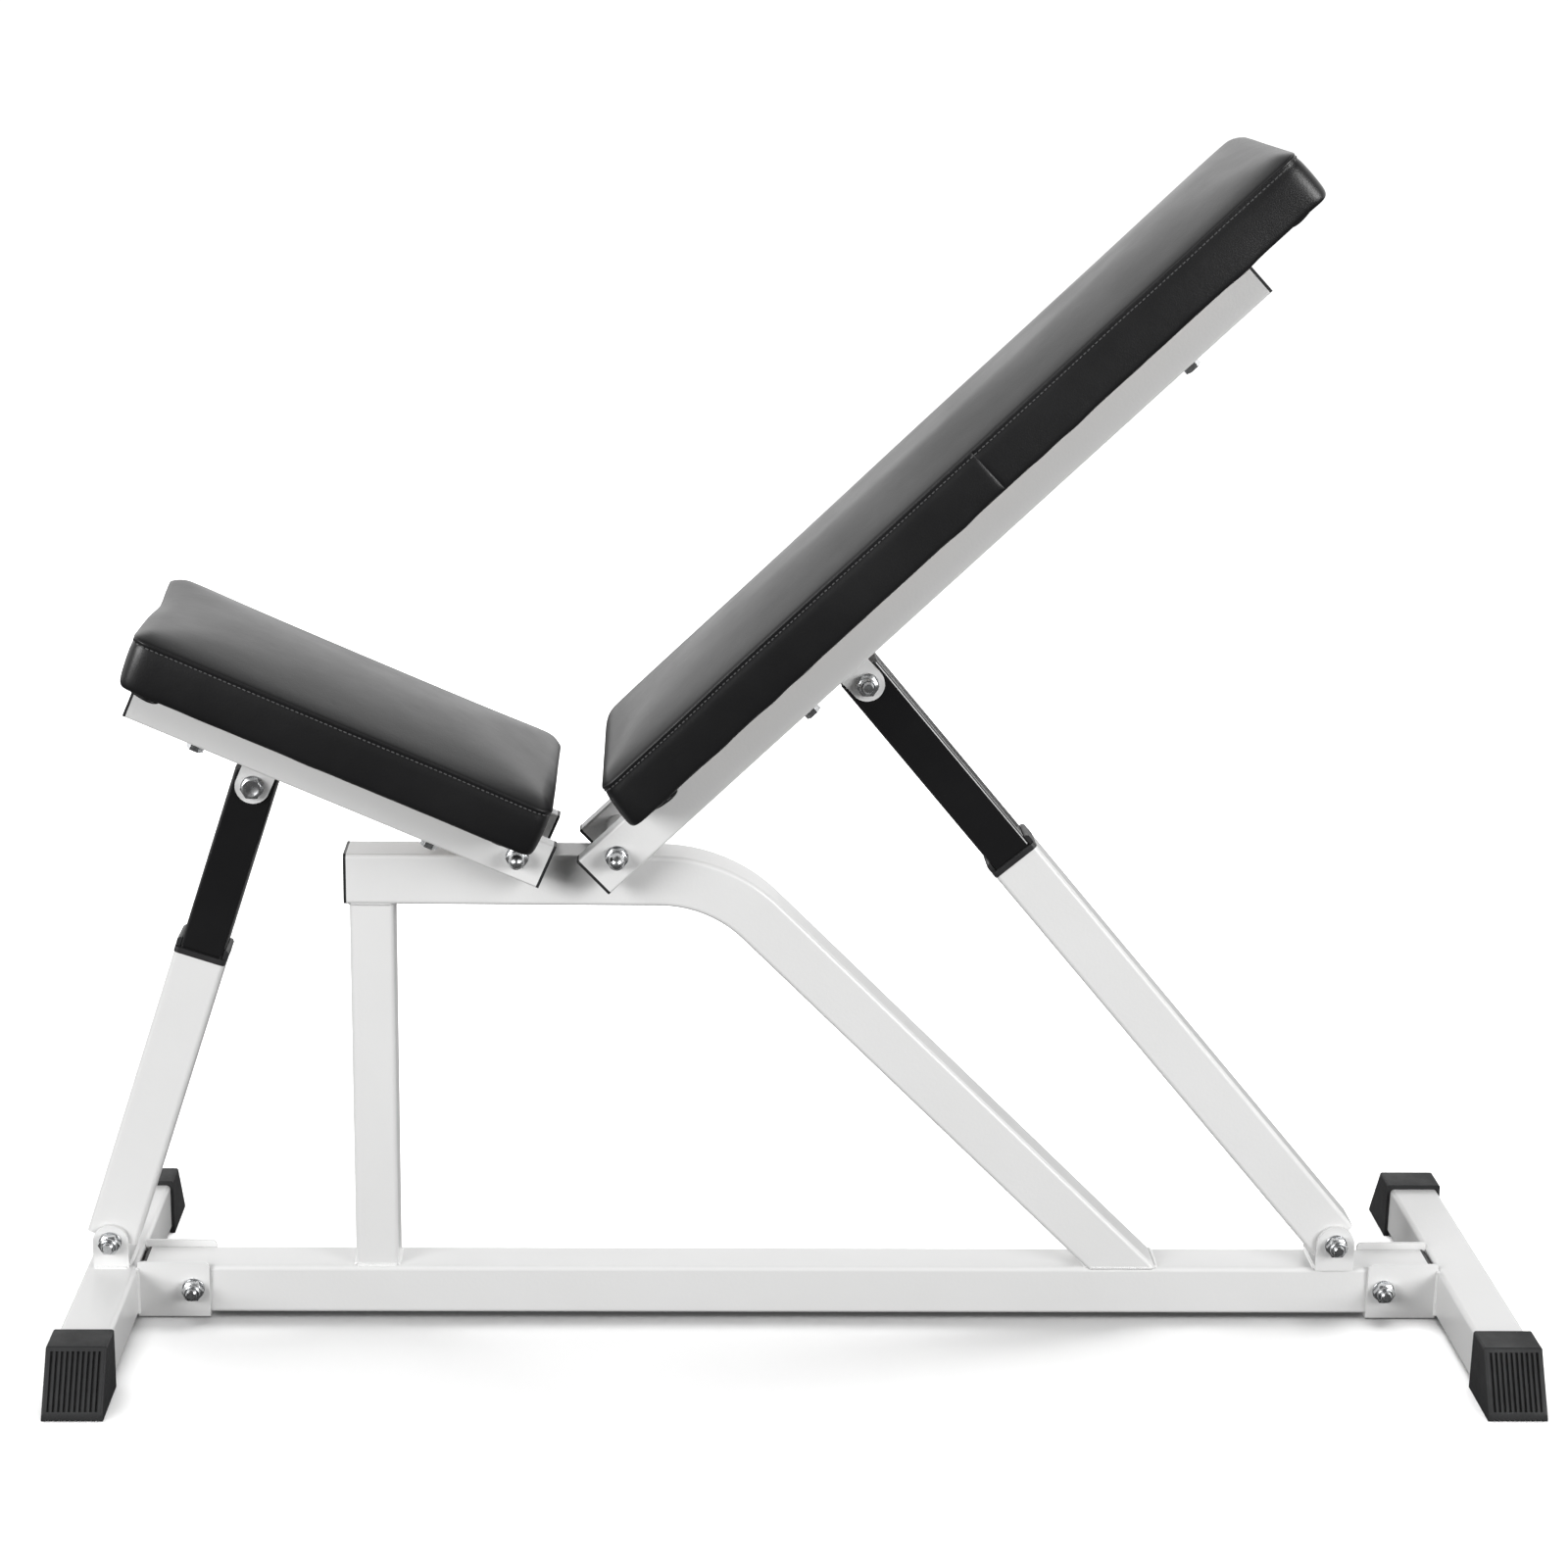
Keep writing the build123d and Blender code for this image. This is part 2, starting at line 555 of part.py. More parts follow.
# ------------------------------------------------------------------------------------------- struts
def strut(name, foot, top, outer_top, inner_start, pitch, holes):
    """A telescopic strut: its outer tube stands on the foot bolt, its inner tube hangs from the top bolt."""
    axis = (top - foot).normalized()
    sideways = axis.cross(Vector(0, 1, 0))
    reach = (top - foot).length

    def station(s):
        return Plane(origin=foot + axis * s, x_dir=(0, 1, 0), z_dir=axis)

    plug_lip = 2.0
    inner_top = reach + INNER_PAST_BOLT - plug_lip
    pin_at = outer_top - PIN_DROP
    pin_point = foot + axis * pin_at

    with BuildPart() as outer:
        with BuildSketch(station(OUTER_FOOT)):
            add(section())
        extrude(amount=outer_top - OUTER_FOOT)
        with Locations(Location(foot, (90, 0, 0))):
            Cylinder(FOOT_BUSH_R + 0.05, TUBE + 2, mode=Mode.SUBTRACT)
        with BuildSketch(across(pin_point.X, pin_point.Z, HALF - WALL - 1)):
            Circle(PIN_R + 0.15)
        extrude(amount=WALL + 2, mode=Mode.SUBTRACT)
    save(outer, f"{name}_outer_tube")

    with BuildPart() as foot_bush:
        with BuildSketch(across(foot.X, foot.Z, 0)):
            Circle(FOOT_BUSH_R)
            Circle(BOLT_R + RUN, mode=Mode.SUBTRACT)
        extrude(amount=HALF, both=True)
    save(foot_bush, f"{name}_strut_bush")

    opening = INNER + 2 * FIT
    with BuildPart() as collar:
        with BuildSketch(station(outer_top)):
            RectangleRounded(TUBE + 1, TUBE + 1, CORNER)
        extrude(amount=COLLAR_FLANGE)
        with BuildSketch(station(outer_top)):
            Rectangle(COLLAR_LIP, TUBE + 1)
        extrude(amount=COLLAR_RISE)
        with BuildSketch(station(outer_top)):
            RectangleRounded(TUBE - 2 * WALL - 2 * TOUCH, TUBE - 2 * WALL - 2 * TOUCH, CORNER - WALL)
        extrude(amount=-COLLAR_SKIRT)
        with BuildSketch(station(outer_top - COLLAR_SKIRT)):
            RectangleRounded(opening, opening, INNER_CORNER)
        extrude(amount=COLLAR_SKIRT + COLLAR_RISE, mode=Mode.SUBTRACT)
        lip_top = foot + axis * (outer_top + COLLAR_RISE)
        lip_edges = collar.edges().filter_by(Axis.Y)
        top_edges = lip_edges.filter_by(lambda e: abs((e.center() - lip_top).dot(axis)) < TOUCH)
        chamfer(top_edges.filter_by(lambda e: abs((e.center() - foot).dot(sideways)) > HALF), 2.0)
    save(collar, f"{name}_collar")

    with BuildPart() as inner:
        with BuildSketch(station(inner_start)):
            add(section(INNER, INNER, WALL, INNER_CORNER))
        extrude(amount=inner_top - inner_start)
        with Locations(Location(top, (90, 0, 0))):
            Cylinder(HOLE_R, INNER + 2, mode=Mode.SUBTRACT)
        for k in range(holes):
            hole = foot + axis * (pin_at + k * pitch)
            with BuildSketch(across(hole.X, hole.Z, INNER / 2 - WALL - 1)):
                Circle(PIN_R + 0.5)
            extrude(amount=WALL + 2, mode=Mode.SUBTRACT)
    save(inner, f"{name}_inner_tube")

    with BuildPart() as inner_plug:
        add(end_caps([station(inner_top)], INNER, INNER, WALL, INNER_CORNER, plug_lip, plug=3.0))
    save(inner_plug, f"{name}_inner_plug")

    # The spring pin, on the +Y face. Everything is measured outwards from that face.
    wall_out = 3.0
    shoulder = 2.0
    shoulder_r = 6.0
    bore_r = 6.6
    stem_in_knob = 10.0
    knob_neck = 5.0
    with BuildPart() as housing:
        with BuildSketch(across(pin_point.X, pin_point.Z, HALF)):
            Circle(HOUSING_R)
            Circle(bore_r, mode=Mode.SUBTRACT)
        extrude(amount=HOUSING_LENGTH - wall_out)
        with BuildSketch(across(pin_point.X, pin_point.Z, HALF + HOUSING_LENGTH - wall_out)):
            Circle(HOUSING_R)
            Circle(STEM_R + 0.1, mode=Mode.SUBTRACT)
        extrude(amount=wall_out)
        outer_end = housing.edges().filter_by(GeomType.CIRCLE).sort_by(Axis.Y)[-2:].sort_by(SortBy.RADIUS)[-1]
        chamfer(outer_end, 1.0)
    save(housing, f"{name}_pin_housing")

    tip = INNER / 2 + 0.5
    shoulder_at = HALF + FIT
    knob_at = HALF + HOUSING_LENGTH + 1.0
    with BuildPart() as plunger:
        with BuildSketch(across(pin_point.X, pin_point.Z, tip)):
            Circle(PIN_R)
        extrude(amount=shoulder_at - tip)
        with BuildSketch(across(pin_point.X, pin_point.Z, shoulder_at)):
            Circle(shoulder_r)
        extrude(amount=shoulder)
        with BuildSketch(across(pin_point.X, pin_point.Z, shoulder_at + shoulder)):
            Circle(STEM_R)
        extrude(amount=knob_at + stem_in_knob - shoulder_at - shoulder)
        chamfer(plunger.edges().filter_by(GeomType.CIRCLE).sort_by(Axis.Y)[0], 0.9)
    save(plunger, f"{name}_pin_plunger")

    with BuildPart() as knob:
        with BuildSketch(across(pin_point.X, pin_point.Z, knob_at)):
            Circle(KNOB_R - 3.0)
            Circle(STEM_R, mode=Mode.SUBTRACT)
        extrude(amount=knob_neck)
        with BuildSketch(across(pin_point.X, pin_point.Z, knob_at + knob_neck)):
            Circle(KNOB_R)
        extrude(amount=KNOB_LENGTH - knob_neck)
        with BuildSketch(across(pin_point.X, pin_point.Z, knob_at)):
            Circle(STEM_R)
        extrude(amount=stem_in_knob, mode=Mode.SUBTRACT)
        fillet(knob.edges().filter_by(GeomType.CIRCLE).sort_by(Axis.Y)[-1], 5.0)
    save(knob, f"{name}_pin_knob")

    wire_r = 0.5
    coil_r = 4.6
    turns = 6
    spring_start = shoulder_at + shoulder + 0.2
    spring_end = HALF + HOUSING_LENGTH - wall_out - 0.2
    coil_height = spring_end - spring_start - 2 * wire_r
    with BuildPart() as spring:
        with BuildLine() as coil:
            Helix(
                pitch=coil_height / turns,
                height=coil_height,
                radius=coil_r,
                center=(pin_point.X, spring_start + wire_r, pin_point.Z),
                direction=(0, 1, 0),
            )
        with BuildSketch(Plane(origin=coil.line @ 0, z_dir=coil.line % 0)):
            Circle(wire_r)
        sweep(path=coil.line, is_frenet=True)
    save(spring, f"{name}_pin_spring")
    print(f"{name} strut: {reach:.3f} mm from bolt to bolt, along {axis}")


strut("front", FRONT_FOOT, SEAT_BOLT, FRONT_OUTER_TOP, FRONT_INNER_START, FRONT_HOLE_PITCH, FRONT_HOLES)
strut("rear", REAR_FOOT, BACK_BOLT, REAR_OUTER_TOP, REAR_INNER_START, REAR_HOLE_PITCH, REAR_HOLES)
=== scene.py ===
# %% [markdown]
# # An adjustable weight bench
#
# The steel frame, the struts, the bolts and every other hard part arrive as a finished model, at their
# true size and place. This lesson gives them their paint, plating, rubber and plastic, welds the frame,
# dresses the bolts, and upholsters the two pads. Each step says what the thing is on a real bench, how
# it could be made in Blender, and why it is made the way it is.

# %% Load the finished model
import json
from math import atan2, cos, exp, hypot, pi, radians, sin

import bmesh
import bpy
from mathutils import Matrix, Vector, noise
from mathutils.bvhtree import BVHTree

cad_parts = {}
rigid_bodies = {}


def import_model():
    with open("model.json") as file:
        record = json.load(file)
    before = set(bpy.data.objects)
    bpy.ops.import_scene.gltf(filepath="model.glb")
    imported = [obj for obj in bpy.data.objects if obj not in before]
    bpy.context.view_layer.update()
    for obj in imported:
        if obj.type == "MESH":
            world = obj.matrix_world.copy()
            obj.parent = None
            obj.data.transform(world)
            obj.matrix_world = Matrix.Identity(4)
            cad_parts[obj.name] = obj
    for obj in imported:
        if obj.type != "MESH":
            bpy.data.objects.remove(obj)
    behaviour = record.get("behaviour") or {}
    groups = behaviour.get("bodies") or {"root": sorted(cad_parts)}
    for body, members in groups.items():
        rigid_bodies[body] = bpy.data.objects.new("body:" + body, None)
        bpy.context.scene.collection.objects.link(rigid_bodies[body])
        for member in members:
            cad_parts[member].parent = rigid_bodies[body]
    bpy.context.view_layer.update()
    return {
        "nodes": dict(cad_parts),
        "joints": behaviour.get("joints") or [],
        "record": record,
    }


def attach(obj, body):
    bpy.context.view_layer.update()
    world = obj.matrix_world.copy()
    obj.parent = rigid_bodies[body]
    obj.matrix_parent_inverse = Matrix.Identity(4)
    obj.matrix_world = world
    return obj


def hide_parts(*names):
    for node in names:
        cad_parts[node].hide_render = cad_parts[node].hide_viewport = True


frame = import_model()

nodes = frame["nodes"]

# %% [markdown]
# ## The viewpoint
#
# The bench is seen from its left side, from a little above and a little in front, with a long lens, so
# that the tubes stay nearly parallel. A camera could be aimed with a Track To constraint, but turning it
# by a heading, a tilt and a slight roll keeps all three angles in plain sight.

# %% Camera
EYE = Vector((-0.1271, -2.5194, 1.1833))
HEADING = radians(-2.514)
TILT = radians(15.313)
ROLL = radians(1.175)
LENS = 69.26

lens = bpy.data.cameras.new("camera")
lens.lens = LENS
lens.clip_end = 50.0
camera = bpy.data.objects.new("camera", lens)
level = Matrix.Rotation(HEADING, 4, "Z") @ Matrix.Rotation(pi / 2 - TILT, 4, "X")
camera.matrix_world = Matrix.Translation(EYE) @ level @ Matrix.Rotation(ROLL, 4, "Z")
bpy.context.scene.collection.objects.link(camera)
bpy.context.scene.camera = camera
print("camera", round(EYE.length, 2), "m from the middle of the floor frame")

# %% [markdown]
# ## Small helpers for materials
#
# Every finish here is one Principled shader. Its fixed numbers go straight on its sockets, and only what
# changes over the surface comes in through a link. Three short helpers keep the node code readable: one
# adds a node and fills in its inputs, one links two nodes, and the last starts a finish.


# %% Helpers for nodes
def add(tree, kind, name=None, **inputs):
    """Adds a node and sets those of its inputs whose names are given, with _ for a space."""
    node = tree.nodes.new(kind)
    node.label = name or ""
    for key, value in inputs.items():
        node.inputs[key.replace("_", " ")].default_value = value
    return node


def join(source, output, target, socket):
    """Links an output of one node to an input of another in the same tree."""
    source.id_data.links.new(source.outputs[output], target.inputs[socket])


def finish(name, colour, roughness, **constants):
    """Starts a material with one Principled shader, and gives back both."""
    made = bpy.data.materials.new(name)
    made.use_nodes = True
    shader = made.node_tree.nodes["Principled BSDF"]
    shader.inputs["Base Color"].default_value = (*colour, 1.0)
    shader.inputs["Roughness"].default_value = roughness
    for key, value in constants.items():
        shader.inputs[key.replace("_", " ")].default_value = value
    return made, shader


# %% [markdown]
# ## Shared surface effects
#
# Nearly every surface of the bench has the same two imperfections. One is a fine relief: the orange peel
# of powder coat, the sparkle of moulded plastic, the bloom on rubber. The other is unevenness in the
# shine, from handling and dust. Both are noise, so each is a node group with its own sizes, and every
# finish places the groups with its own values.


# %% Node groups for relief and unevenness
def group(name, inputs, outputs):
    """An empty shader node group with float inputs and named outputs."""
    made = bpy.data.node_groups.new(name, "ShaderNodeTree")
    for title, default in inputs:
        socket = made.interface.new_socket(title, in_out="INPUT", socket_type="NodeSocketFloat")
        socket.default_value = default
    for title in outputs:
        made.interface.new_socket(title, in_out="OUTPUT", socket_type="NodeSocketFloat")
    return made, made.nodes.new("NodeGroupInput"), made.nodes.new("NodeGroupOutput")


relief, inside, outside = group("fine relief", [("Per metre", 500.0), ("Softness", 0.5)], ["Height"])
where = relief.nodes.new("ShaderNodeTexCoord")
bumps = add(relief, "ShaderNodeTexNoise", "bumps", Detail=2.0)
join(where, "Object", bumps, "Vector")
join(inside, "Per metre", bumps, "Scale")
join(inside, "Softness", bumps, "Roughness")
join(bumps, "Fac", outside, "Height")

uneven, inside, outside = group("uneven shine", [("Per metre", 12.0), ("Low", 0.3), ("High", 0.4)], ["Value"])
where = uneven.nodes.new("ShaderNodeTexCoord")
patches = add(uneven, "ShaderNodeTexNoise", "patches", Detail=5.0, Roughness=0.6)
spread = add(uneven, "ShaderNodeMapRange", "spread", From_Min=0.3, From_Max=0.7)
join(where, "Object", patches, "Vector")
join(inside, "Per metre", patches, "Scale")
join(patches, "Fac", spread, "Value")
join(inside, "Low", spread, "To Min")
join(inside, "High", spread, "To Max")
join(spread, "Result", outside, "Value")
print("shared groups:", relief.name, "and", uneven.name)


# %% [markdown]
# The two groups meet a finish in the same way each time: unevenness drives the roughness, and relief is
# the height of a Bump node. A third link tints the base colour with larger patches, because grime shows in
# colour as well as in shine.


# %% Lay the effects on a finish
def place_group(tree, shared, label, **values):
    """Adds a shared group to a material, with its own values."""
    node = add(tree, "ShaderNodeGroup", label)
    node.node_tree = shared
    for key, value in values.items():
        node.inputs[key.replace("_", " ")].default_value = value
    return node


def weather(made, shader, shine, grain, tints=None):
    """shine is (per metre, low, high), grain is (per metre, softness, depth in metres)."""
    tree = made.node_tree
    patch = place_group(tree, uneven, "unevenness", Per_metre=shine[0], Low=shine[1], High=shine[2])
    join(patch, "Value", shader, "Roughness")
    fine = place_group(tree, relief, "relief", Per_metre=grain[0], Softness=grain[1])
    bump = add(tree, "ShaderNodeBump", "bump", Distance=grain[2], Strength=1.0)
    join(fine, "Height", bump, "Height")
    join(bump, "Normal", shader, "Normal")
    if tints:
        # Stains are larger than the patches of shine.
        stain = place_group(tree, uneven, "stain", Per_metre=shine[0] * 0.7, Low=0.0, High=1.0)
        blend = add(tree, "ShaderNodeMix", "tint")
        blend.data_type = "RGBA"
        blend.inputs["A"].default_value = (*tints[0], 1.0)
        blend.inputs["B"].default_value = (*tints[1], 1.0)
        join(stain, "Value", blend, "Factor")
        join(blend, "Result", shader, "Base Color")
    return bump


# %% [markdown]
# ## Paint and powder coat
#
# The tubes are powder coated: a thick plastic skin with a soft gloss and a faint orange peel, about one
# bump every two millimetres. White coat is not pure white. It is a light warm grey that the lights lift.
# The inner strut tubes have a black coat, which is smoother.

# %% White and black coats
WHITE = (0.80, 0.80, 0.797)
white_coat, shader = finish("white powder coat", WHITE, 0.32, Coat_Weight=0.25, Coat_Roughness=0.12)
weather(white_coat, shader, (9.0, 0.27, 0.40), (420.0, 0.35, 0.00010), (WHITE, (0.77, 0.77, 0.765)))

BLACK = (0.0045, 0.0045, 0.005)
black_coat, shader = finish("black powder coat", BLACK, 0.3, Coat_Weight=0.8, Coat_Roughness=0.08)
weather(black_coat, shader, (14.0, 0.18, 0.28), (520.0, 0.35, 0.00008), (BLACK, (0.007, 0.007, 0.0075)))
print("coats:", white_coat.name, "and", black_coat.name)

# %% [markdown]
# ## Rubber and plastic
#
# The foot caps are moulded rubber, dark grey with a dusty bloom, and the end caps, collars and knobs are
# black plastic with a fine spark-eroded grain. Both scatter light widely, so their roughness is high, and
# the grain is finer than a millimetre.

# %% Rubber and plastic
RUBBER = (0.012, 0.0122, 0.013)
rubber, shader = finish("foot rubber", RUBBER, 0.6, Specular_IOR_Level=0.4)
weather(rubber, shader, (30.0, 0.5, 0.72), (1100.0, 0.7, 0.00012), (RUBBER, (0.020, 0.0205, 0.0215)))

PLASTIC = (0.016, 0.016, 0.017)
plastic, shader = finish("black moulded plastic", PLASTIC, 0.45)
weather(plastic, shader, (40.0, 0.38, 0.52), (1500.0, 0.6, 0.00006), (PLASTIC, (0.022, 0.022, 0.023)))
print("moulded:", rubber.name, "and", plastic.name)

# %% [markdown]
# ## Plated steel
#
# Bolts, nuts and washers are zinc plated: bright, but never a mirror, with faint clouds in the plating.
# Spring wire is plain steel and darker. Metal has no base colour of its own apart from its reflection,
# so the colour sets how bright that reflection is.

# %% Zinc plate and spring steel
ZINC = (0.72, 0.73, 0.74)
zinc, shader = finish("bright zinc plate", ZINC, 0.25, Metallic=1.0)
weather(zinc, shader, (160.0, 0.16, 0.34), (900.0, 0.5, 0.00003), (ZINC, (0.60, 0.61, 0.62)))

WIRE = (0.42, 0.42, 0.44)
spring_steel, shader = finish("spring wire", WIRE, 0.35, Metallic=1.0)
weather(spring_steel, shader, (300.0, 0.28, 0.42), (2000.0, 0.5, 0.00002))
print("metals:", zinc.name, "and", spring_steel.name)

# %% [markdown]
# ## Plywood
#
# Under each pad is a bare birch board. Wood grain is noise that is stretched many times along the board,
# so a Mapping node first turns the pattern to the board's tilt, then squeezes it lengthways. The two
# boards lie at different angles, so each has its own copy of the finish.


# %% Birch ply, one for each tilt
def birch(name, tilt):
    """Plywood whose grain runs along a board that is tilted by that angle about Y."""
    made, shader = finish(name, (0.52, 0.36, 0.20), 0.6)
    tree = made.node_tree
    place = tree.nodes.new("ShaderNodeTexCoord")
    align = add(tree, "ShaderNodeMapping", "along the board", Rotation=(0, tilt, 0))
    squeeze = add(tree, "ShaderNodeMapping", "stretch", Scale=(0.06, 1.0, 1.0))
    fibres = add(tree, "ShaderNodeTexNoise", "fibres", Scale=160.0, Detail=6.0, Roughness=0.65)
    figure = add(tree, "ShaderNodeTexNoise", "figure", Scale=26.0, Detail=3.0, Distortion=0.8)
    light = add(tree, "ShaderNodeValToRGB", "grain colours")
    light.color_ramp.elements[0].color = (0.33, 0.20, 0.10, 1)
    light.color_ramp.elements[0].position = 0.3
    light.color_ramp.elements[1].color = (0.62, 0.45, 0.27, 1)
    light.color_ramp.elements[1].position = 0.7
    both = add(tree, "ShaderNodeMath", "fibres and figure")
    both.operation = "MULTIPLY_ADD"
    both.inputs[1].default_value = 0.5
    half = add(tree, "ShaderNodeMath", "half the figure")
    half.operation = "MULTIPLY"
    half.inputs[1].default_value = 0.5
    bump = add(tree, "ShaderNodeBump", "pores", Distance=0.0003, Strength=0.6)
    join(place, "Object", align, "Vector")
    join(align, "Vector", squeeze, "Vector")
    join(squeeze, "Vector", fibres, "Vector")
    join(squeeze, "Vector", figure, "Vector")
    join(figure, "Fac", half, 0)
    join(fibres, "Fac", both, 0)
    join(half, "Value", both, 2)
    join(both, "Value", light, "Fac")
    join(light, "Color", shader, "Base Color")
    join(fibres, "Fac", bump, "Height")
    join(bump, "Normal", shader, "Normal")
    return made


joints = {joint["name"]: joint for joint in frame["joints"]}
SEAT_TILT = -radians(joints["seat_tilt"]["range_deg"][0])
BACK_TILT = radians(joints["back_tilt"]["range_deg"][1])
seat_ply = birch("birch ply of the seat", -SEAT_TILT)
back_ply = birch("birch ply of the back", BACK_TILT)
print("boards tilt", round(SEAT_TILT, 3), "and", round(BACK_TILT, 3), "radians")

# %% [markdown]
# ## Vinyl
#
# The pads are covered in black upholstery vinyl: a cloth with a satin plastic face, embossed with a fine
# pebble like leather's. The pebble is Voronoi cells about a millimetre across, softened by noise. Seen
# at a low angle the face catches the bright room behind and turns mid grey, which the shader's own
# Fresnel does without help, so the base colour can stay nearly black.

# %% Vinyl and its thread
VINYL = (0.0045, 0.0045, 0.005)
vinyl, shader = finish("black upholstery vinyl", VINYL, 0.4, Specular_IOR_Level=0.5)
tree = vinyl.node_tree
place = tree.nodes.new("ShaderNodeTexCoord")
pebbles = add(tree, "ShaderNodeTexVoronoi", "pebbles", Scale=950.0, Randomness=1.0)
pebbles.feature = "SMOOTH_F1"
creases = add(tree, "ShaderNodeTexNoise", "creases", Scale=60.0, Detail=4.0, Roughness=0.55)
mixed = add(tree, "ShaderNodeMath", "pebbles and creases")
mixed.operation = "MULTIPLY_ADD"
mixed.inputs[1].default_value = 0.35
bump = weather(vinyl, shader, (7.0, 0.31, 0.42), (2400.0, 0.6, 0.00018), (VINYL, (0.0075, 0.0075, 0.008)))
join(place, "Object", pebbles, "Vector")
join(place, "Object", creases, "Vector")
join(pebbles, "Distance", mixed, 0)
join(creases, "Fac", mixed, 2)
join(mixed, "Value", bump, "Height")

thread, shader = finish("black bonded thread", (0.07, 0.07, 0.072), 0.5, Sheen_Weight=0.3)
weather(thread, shader, (300.0, 0.42, 0.6), (3000.0, 0.5, 0.00005))
print("covering:", vinyl.name, "sewn with", thread.name)

# %% [markdown]
# ## Dress the finished parts
#
# The hard parts keep their shape. The tubes and clevises are smooth already, and need only a finish.
# Plates, caps and turned parts have sharp corners, which no real one has, so these get a small Bevel, and
# each edge catches a line of light. Their meshes come in as loose triangles, so a Weld modifier joins
# them first. A Weighted Normal modifier ends the stack. It lets the large flat faces decide the shading,
# where plain smooth shading would bend it over a whole plate.

# %% Finishes and softened edges for the model's own parts
FINISH_OF = {
    "white_paint": white_coat,
    "black_paint": black_coat,
    "black_rubber": rubber,
    "black_plastic": plastic,
    "zinc_plate": zinc,
    "spring_steel": spring_steel,
    "black_vinyl": vinyl,
}
slot_of = {row["node"]: row["material_slot"] for row in frame["record"]["subparts"]}


def soften(part, width):
    """Joins the triangles of a part and rounds its sharp edges, with modifiers only."""
    weld = part.modifiers.new("join", "WELD")
    weld.merge_threshold = 0.000005
    edge = part.modifiers.new("soft edges", "BEVEL")
    edge.width = width
    edge.segments = 2
    edge.limit_method = "ANGLE"
    edge.angle_limit = radians(38)
    even = part.modifiers.new("flat shading", "WEIGHTED_NORMAL")
    even.weight = 80


EDGE_WIDTHS = {"white_paint": 0.0005, "black_rubber": 0.0006, "black_plastic": 0.0004}
TUBES = ("tube", "rail_left", "rail_right", "main_rail", "front_post", "beam", "bar", "clevis")
for name, part in nodes.items():
    slot = slot_of[name]
    part.data.materials.clear()
    if slot == "plywood":
        part.data.materials.append(seat_ply if name == "seat_board" else back_ply)
    else:
        part.data.materials.append(FINISH_OF[slot])
    if slot != "spring_steel" and not name.endswith(TUBES):
        soften(part, EDGE_WIDTHS.get(slot, 0.0003))
print("finishes on", len(nodes), "parts")

# %% [markdown]
# ## Where things are
#
# New pieces take their places from the finished model. A bolt or a nut is often one of several in the
# same part, so this helper joins the part's triangles and sorts them into separate lumps, and gives the
# box round each one.


# %% Boxes of the separate lumps in a part
def lumps(name):
    """The lowest and highest corner of each separate solid in a part, from left to right."""
    shape = bmesh.new()
    shape.from_mesh(nodes[name].data)
    bmesh.ops.remove_doubles(shape, verts=shape.verts, dist=0.00001)
    left, boxes = set(shape.verts), []
    while left:
        front = [left.pop()]
        lump = list(front)
        while front:
            for edge in front.pop().link_edges:
                for vert in edge.verts:
                    if vert in left:
                        left.discard(vert)
                        front.append(vert)
                        lump.append(vert)
        lows = Vector([min(v.co[axis] for v in lump) for axis in range(3)])
        highs = Vector([max(v.co[axis] for v in lump) for axis in range(3)])
        boxes.append((lows, highs))
    shape.free()
    return sorted(boxes, key=lambda box: tuple(box[0]))


def piece(name, shape, body, material, smooth_below=35):
    """Turns a bmesh into a finished piece that rides on a body."""
    mesh = bpy.data.meshes.new(name)
    shape.normal_update()
    shape.to_mesh(mesh)
    shape.free()
    made = bpy.data.objects.new(name, mesh)
    bpy.context.scene.collection.objects.link(made)
    mesh.materials.append(material)
    mesh.shade_smooth()
    if smooth_below:
        mesh.set_sharp_from_angle(angle=radians(smooth_below))
    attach(made, body)
    return made


for name in ("base_lock_nuts", "pivot_cap_nuts", "base_washers"):
    print(name, "has", len(lumps(name)), "separate pieces")

# %% [markdown]
# ## Turned fasteners
#
# The model's nuts and bolts are plain prisms. On a real one, the corners of each hexagon are cut by a
# cone, a lock nut ends in a rounded collar that holds a nylon ring, and the thread shows past it. All of
# these are stacks of rings round one axis: a disc whose rim is extruded again and again, and shaped after
# each step into a circle or a hexagon, which may also follow a cone. A boolean of a prism and a cone would
# give the same shape, with worse faces.


# %% Solids made of rings
AROUND = 36
FLAT = 0.0085  # half the width across a nut's flats


def ring_point(at, way, angle, height, radius, slope):
    """A point of one ring. With a slope, the ring is a hexagon, and rises beyond its radius."""
    out, rise = radius, height
    if slope is not None:
        out = FLAT / cos(angle % (pi / 3) - pi / 6)
        rise = height + slope * (out - radius)
    return at + Vector((out * cos(angle), way * rise, out * sin(angle)))


def ring_stack(shape, at, way, rings):
    """Adds a closed solid along Y, from rings of (height, radius, slope), in metres."""
    upright = Matrix.Translation(at) @ Matrix.Rotation(pi / 2, 4, "X")
    disc = bmesh.ops.create_circle(shape, cap_ends=True, segments=AROUND, radius=rings[0][1], matrix=upright)
    rim = list(disc["verts"][0].link_faces[0].edges)
    bmesh.ops.translate(shape, vec=(0, way * rings[0][0], 0), verts=disc["verts"])
    for height, radius, slope in rings[1:]:
        grown = bmesh.ops.extrude_edge_only(shape, edges=rim)["geom"]
        rim = [item for item in grown if isinstance(item, bmesh.types.BMEdge)]
        for vert in [item for item in grown if isinstance(item, bmesh.types.BMVert)]:
            angle = atan2(vert.co.z - at.z, vert.co.x - at.x)
            vert.co = ring_point(at, way, angle, height, radius, slope)
    bmesh.ops.contextual_create(shape, geom=rim)


SHANK = 0.0050
CONE = 0.58  # slope of the cone that cuts the corners
print("a nut's corners are cut down by", round(CONE * (FLAT / cos(pi / 6) - FLAT) * 1000, 2), "mm")

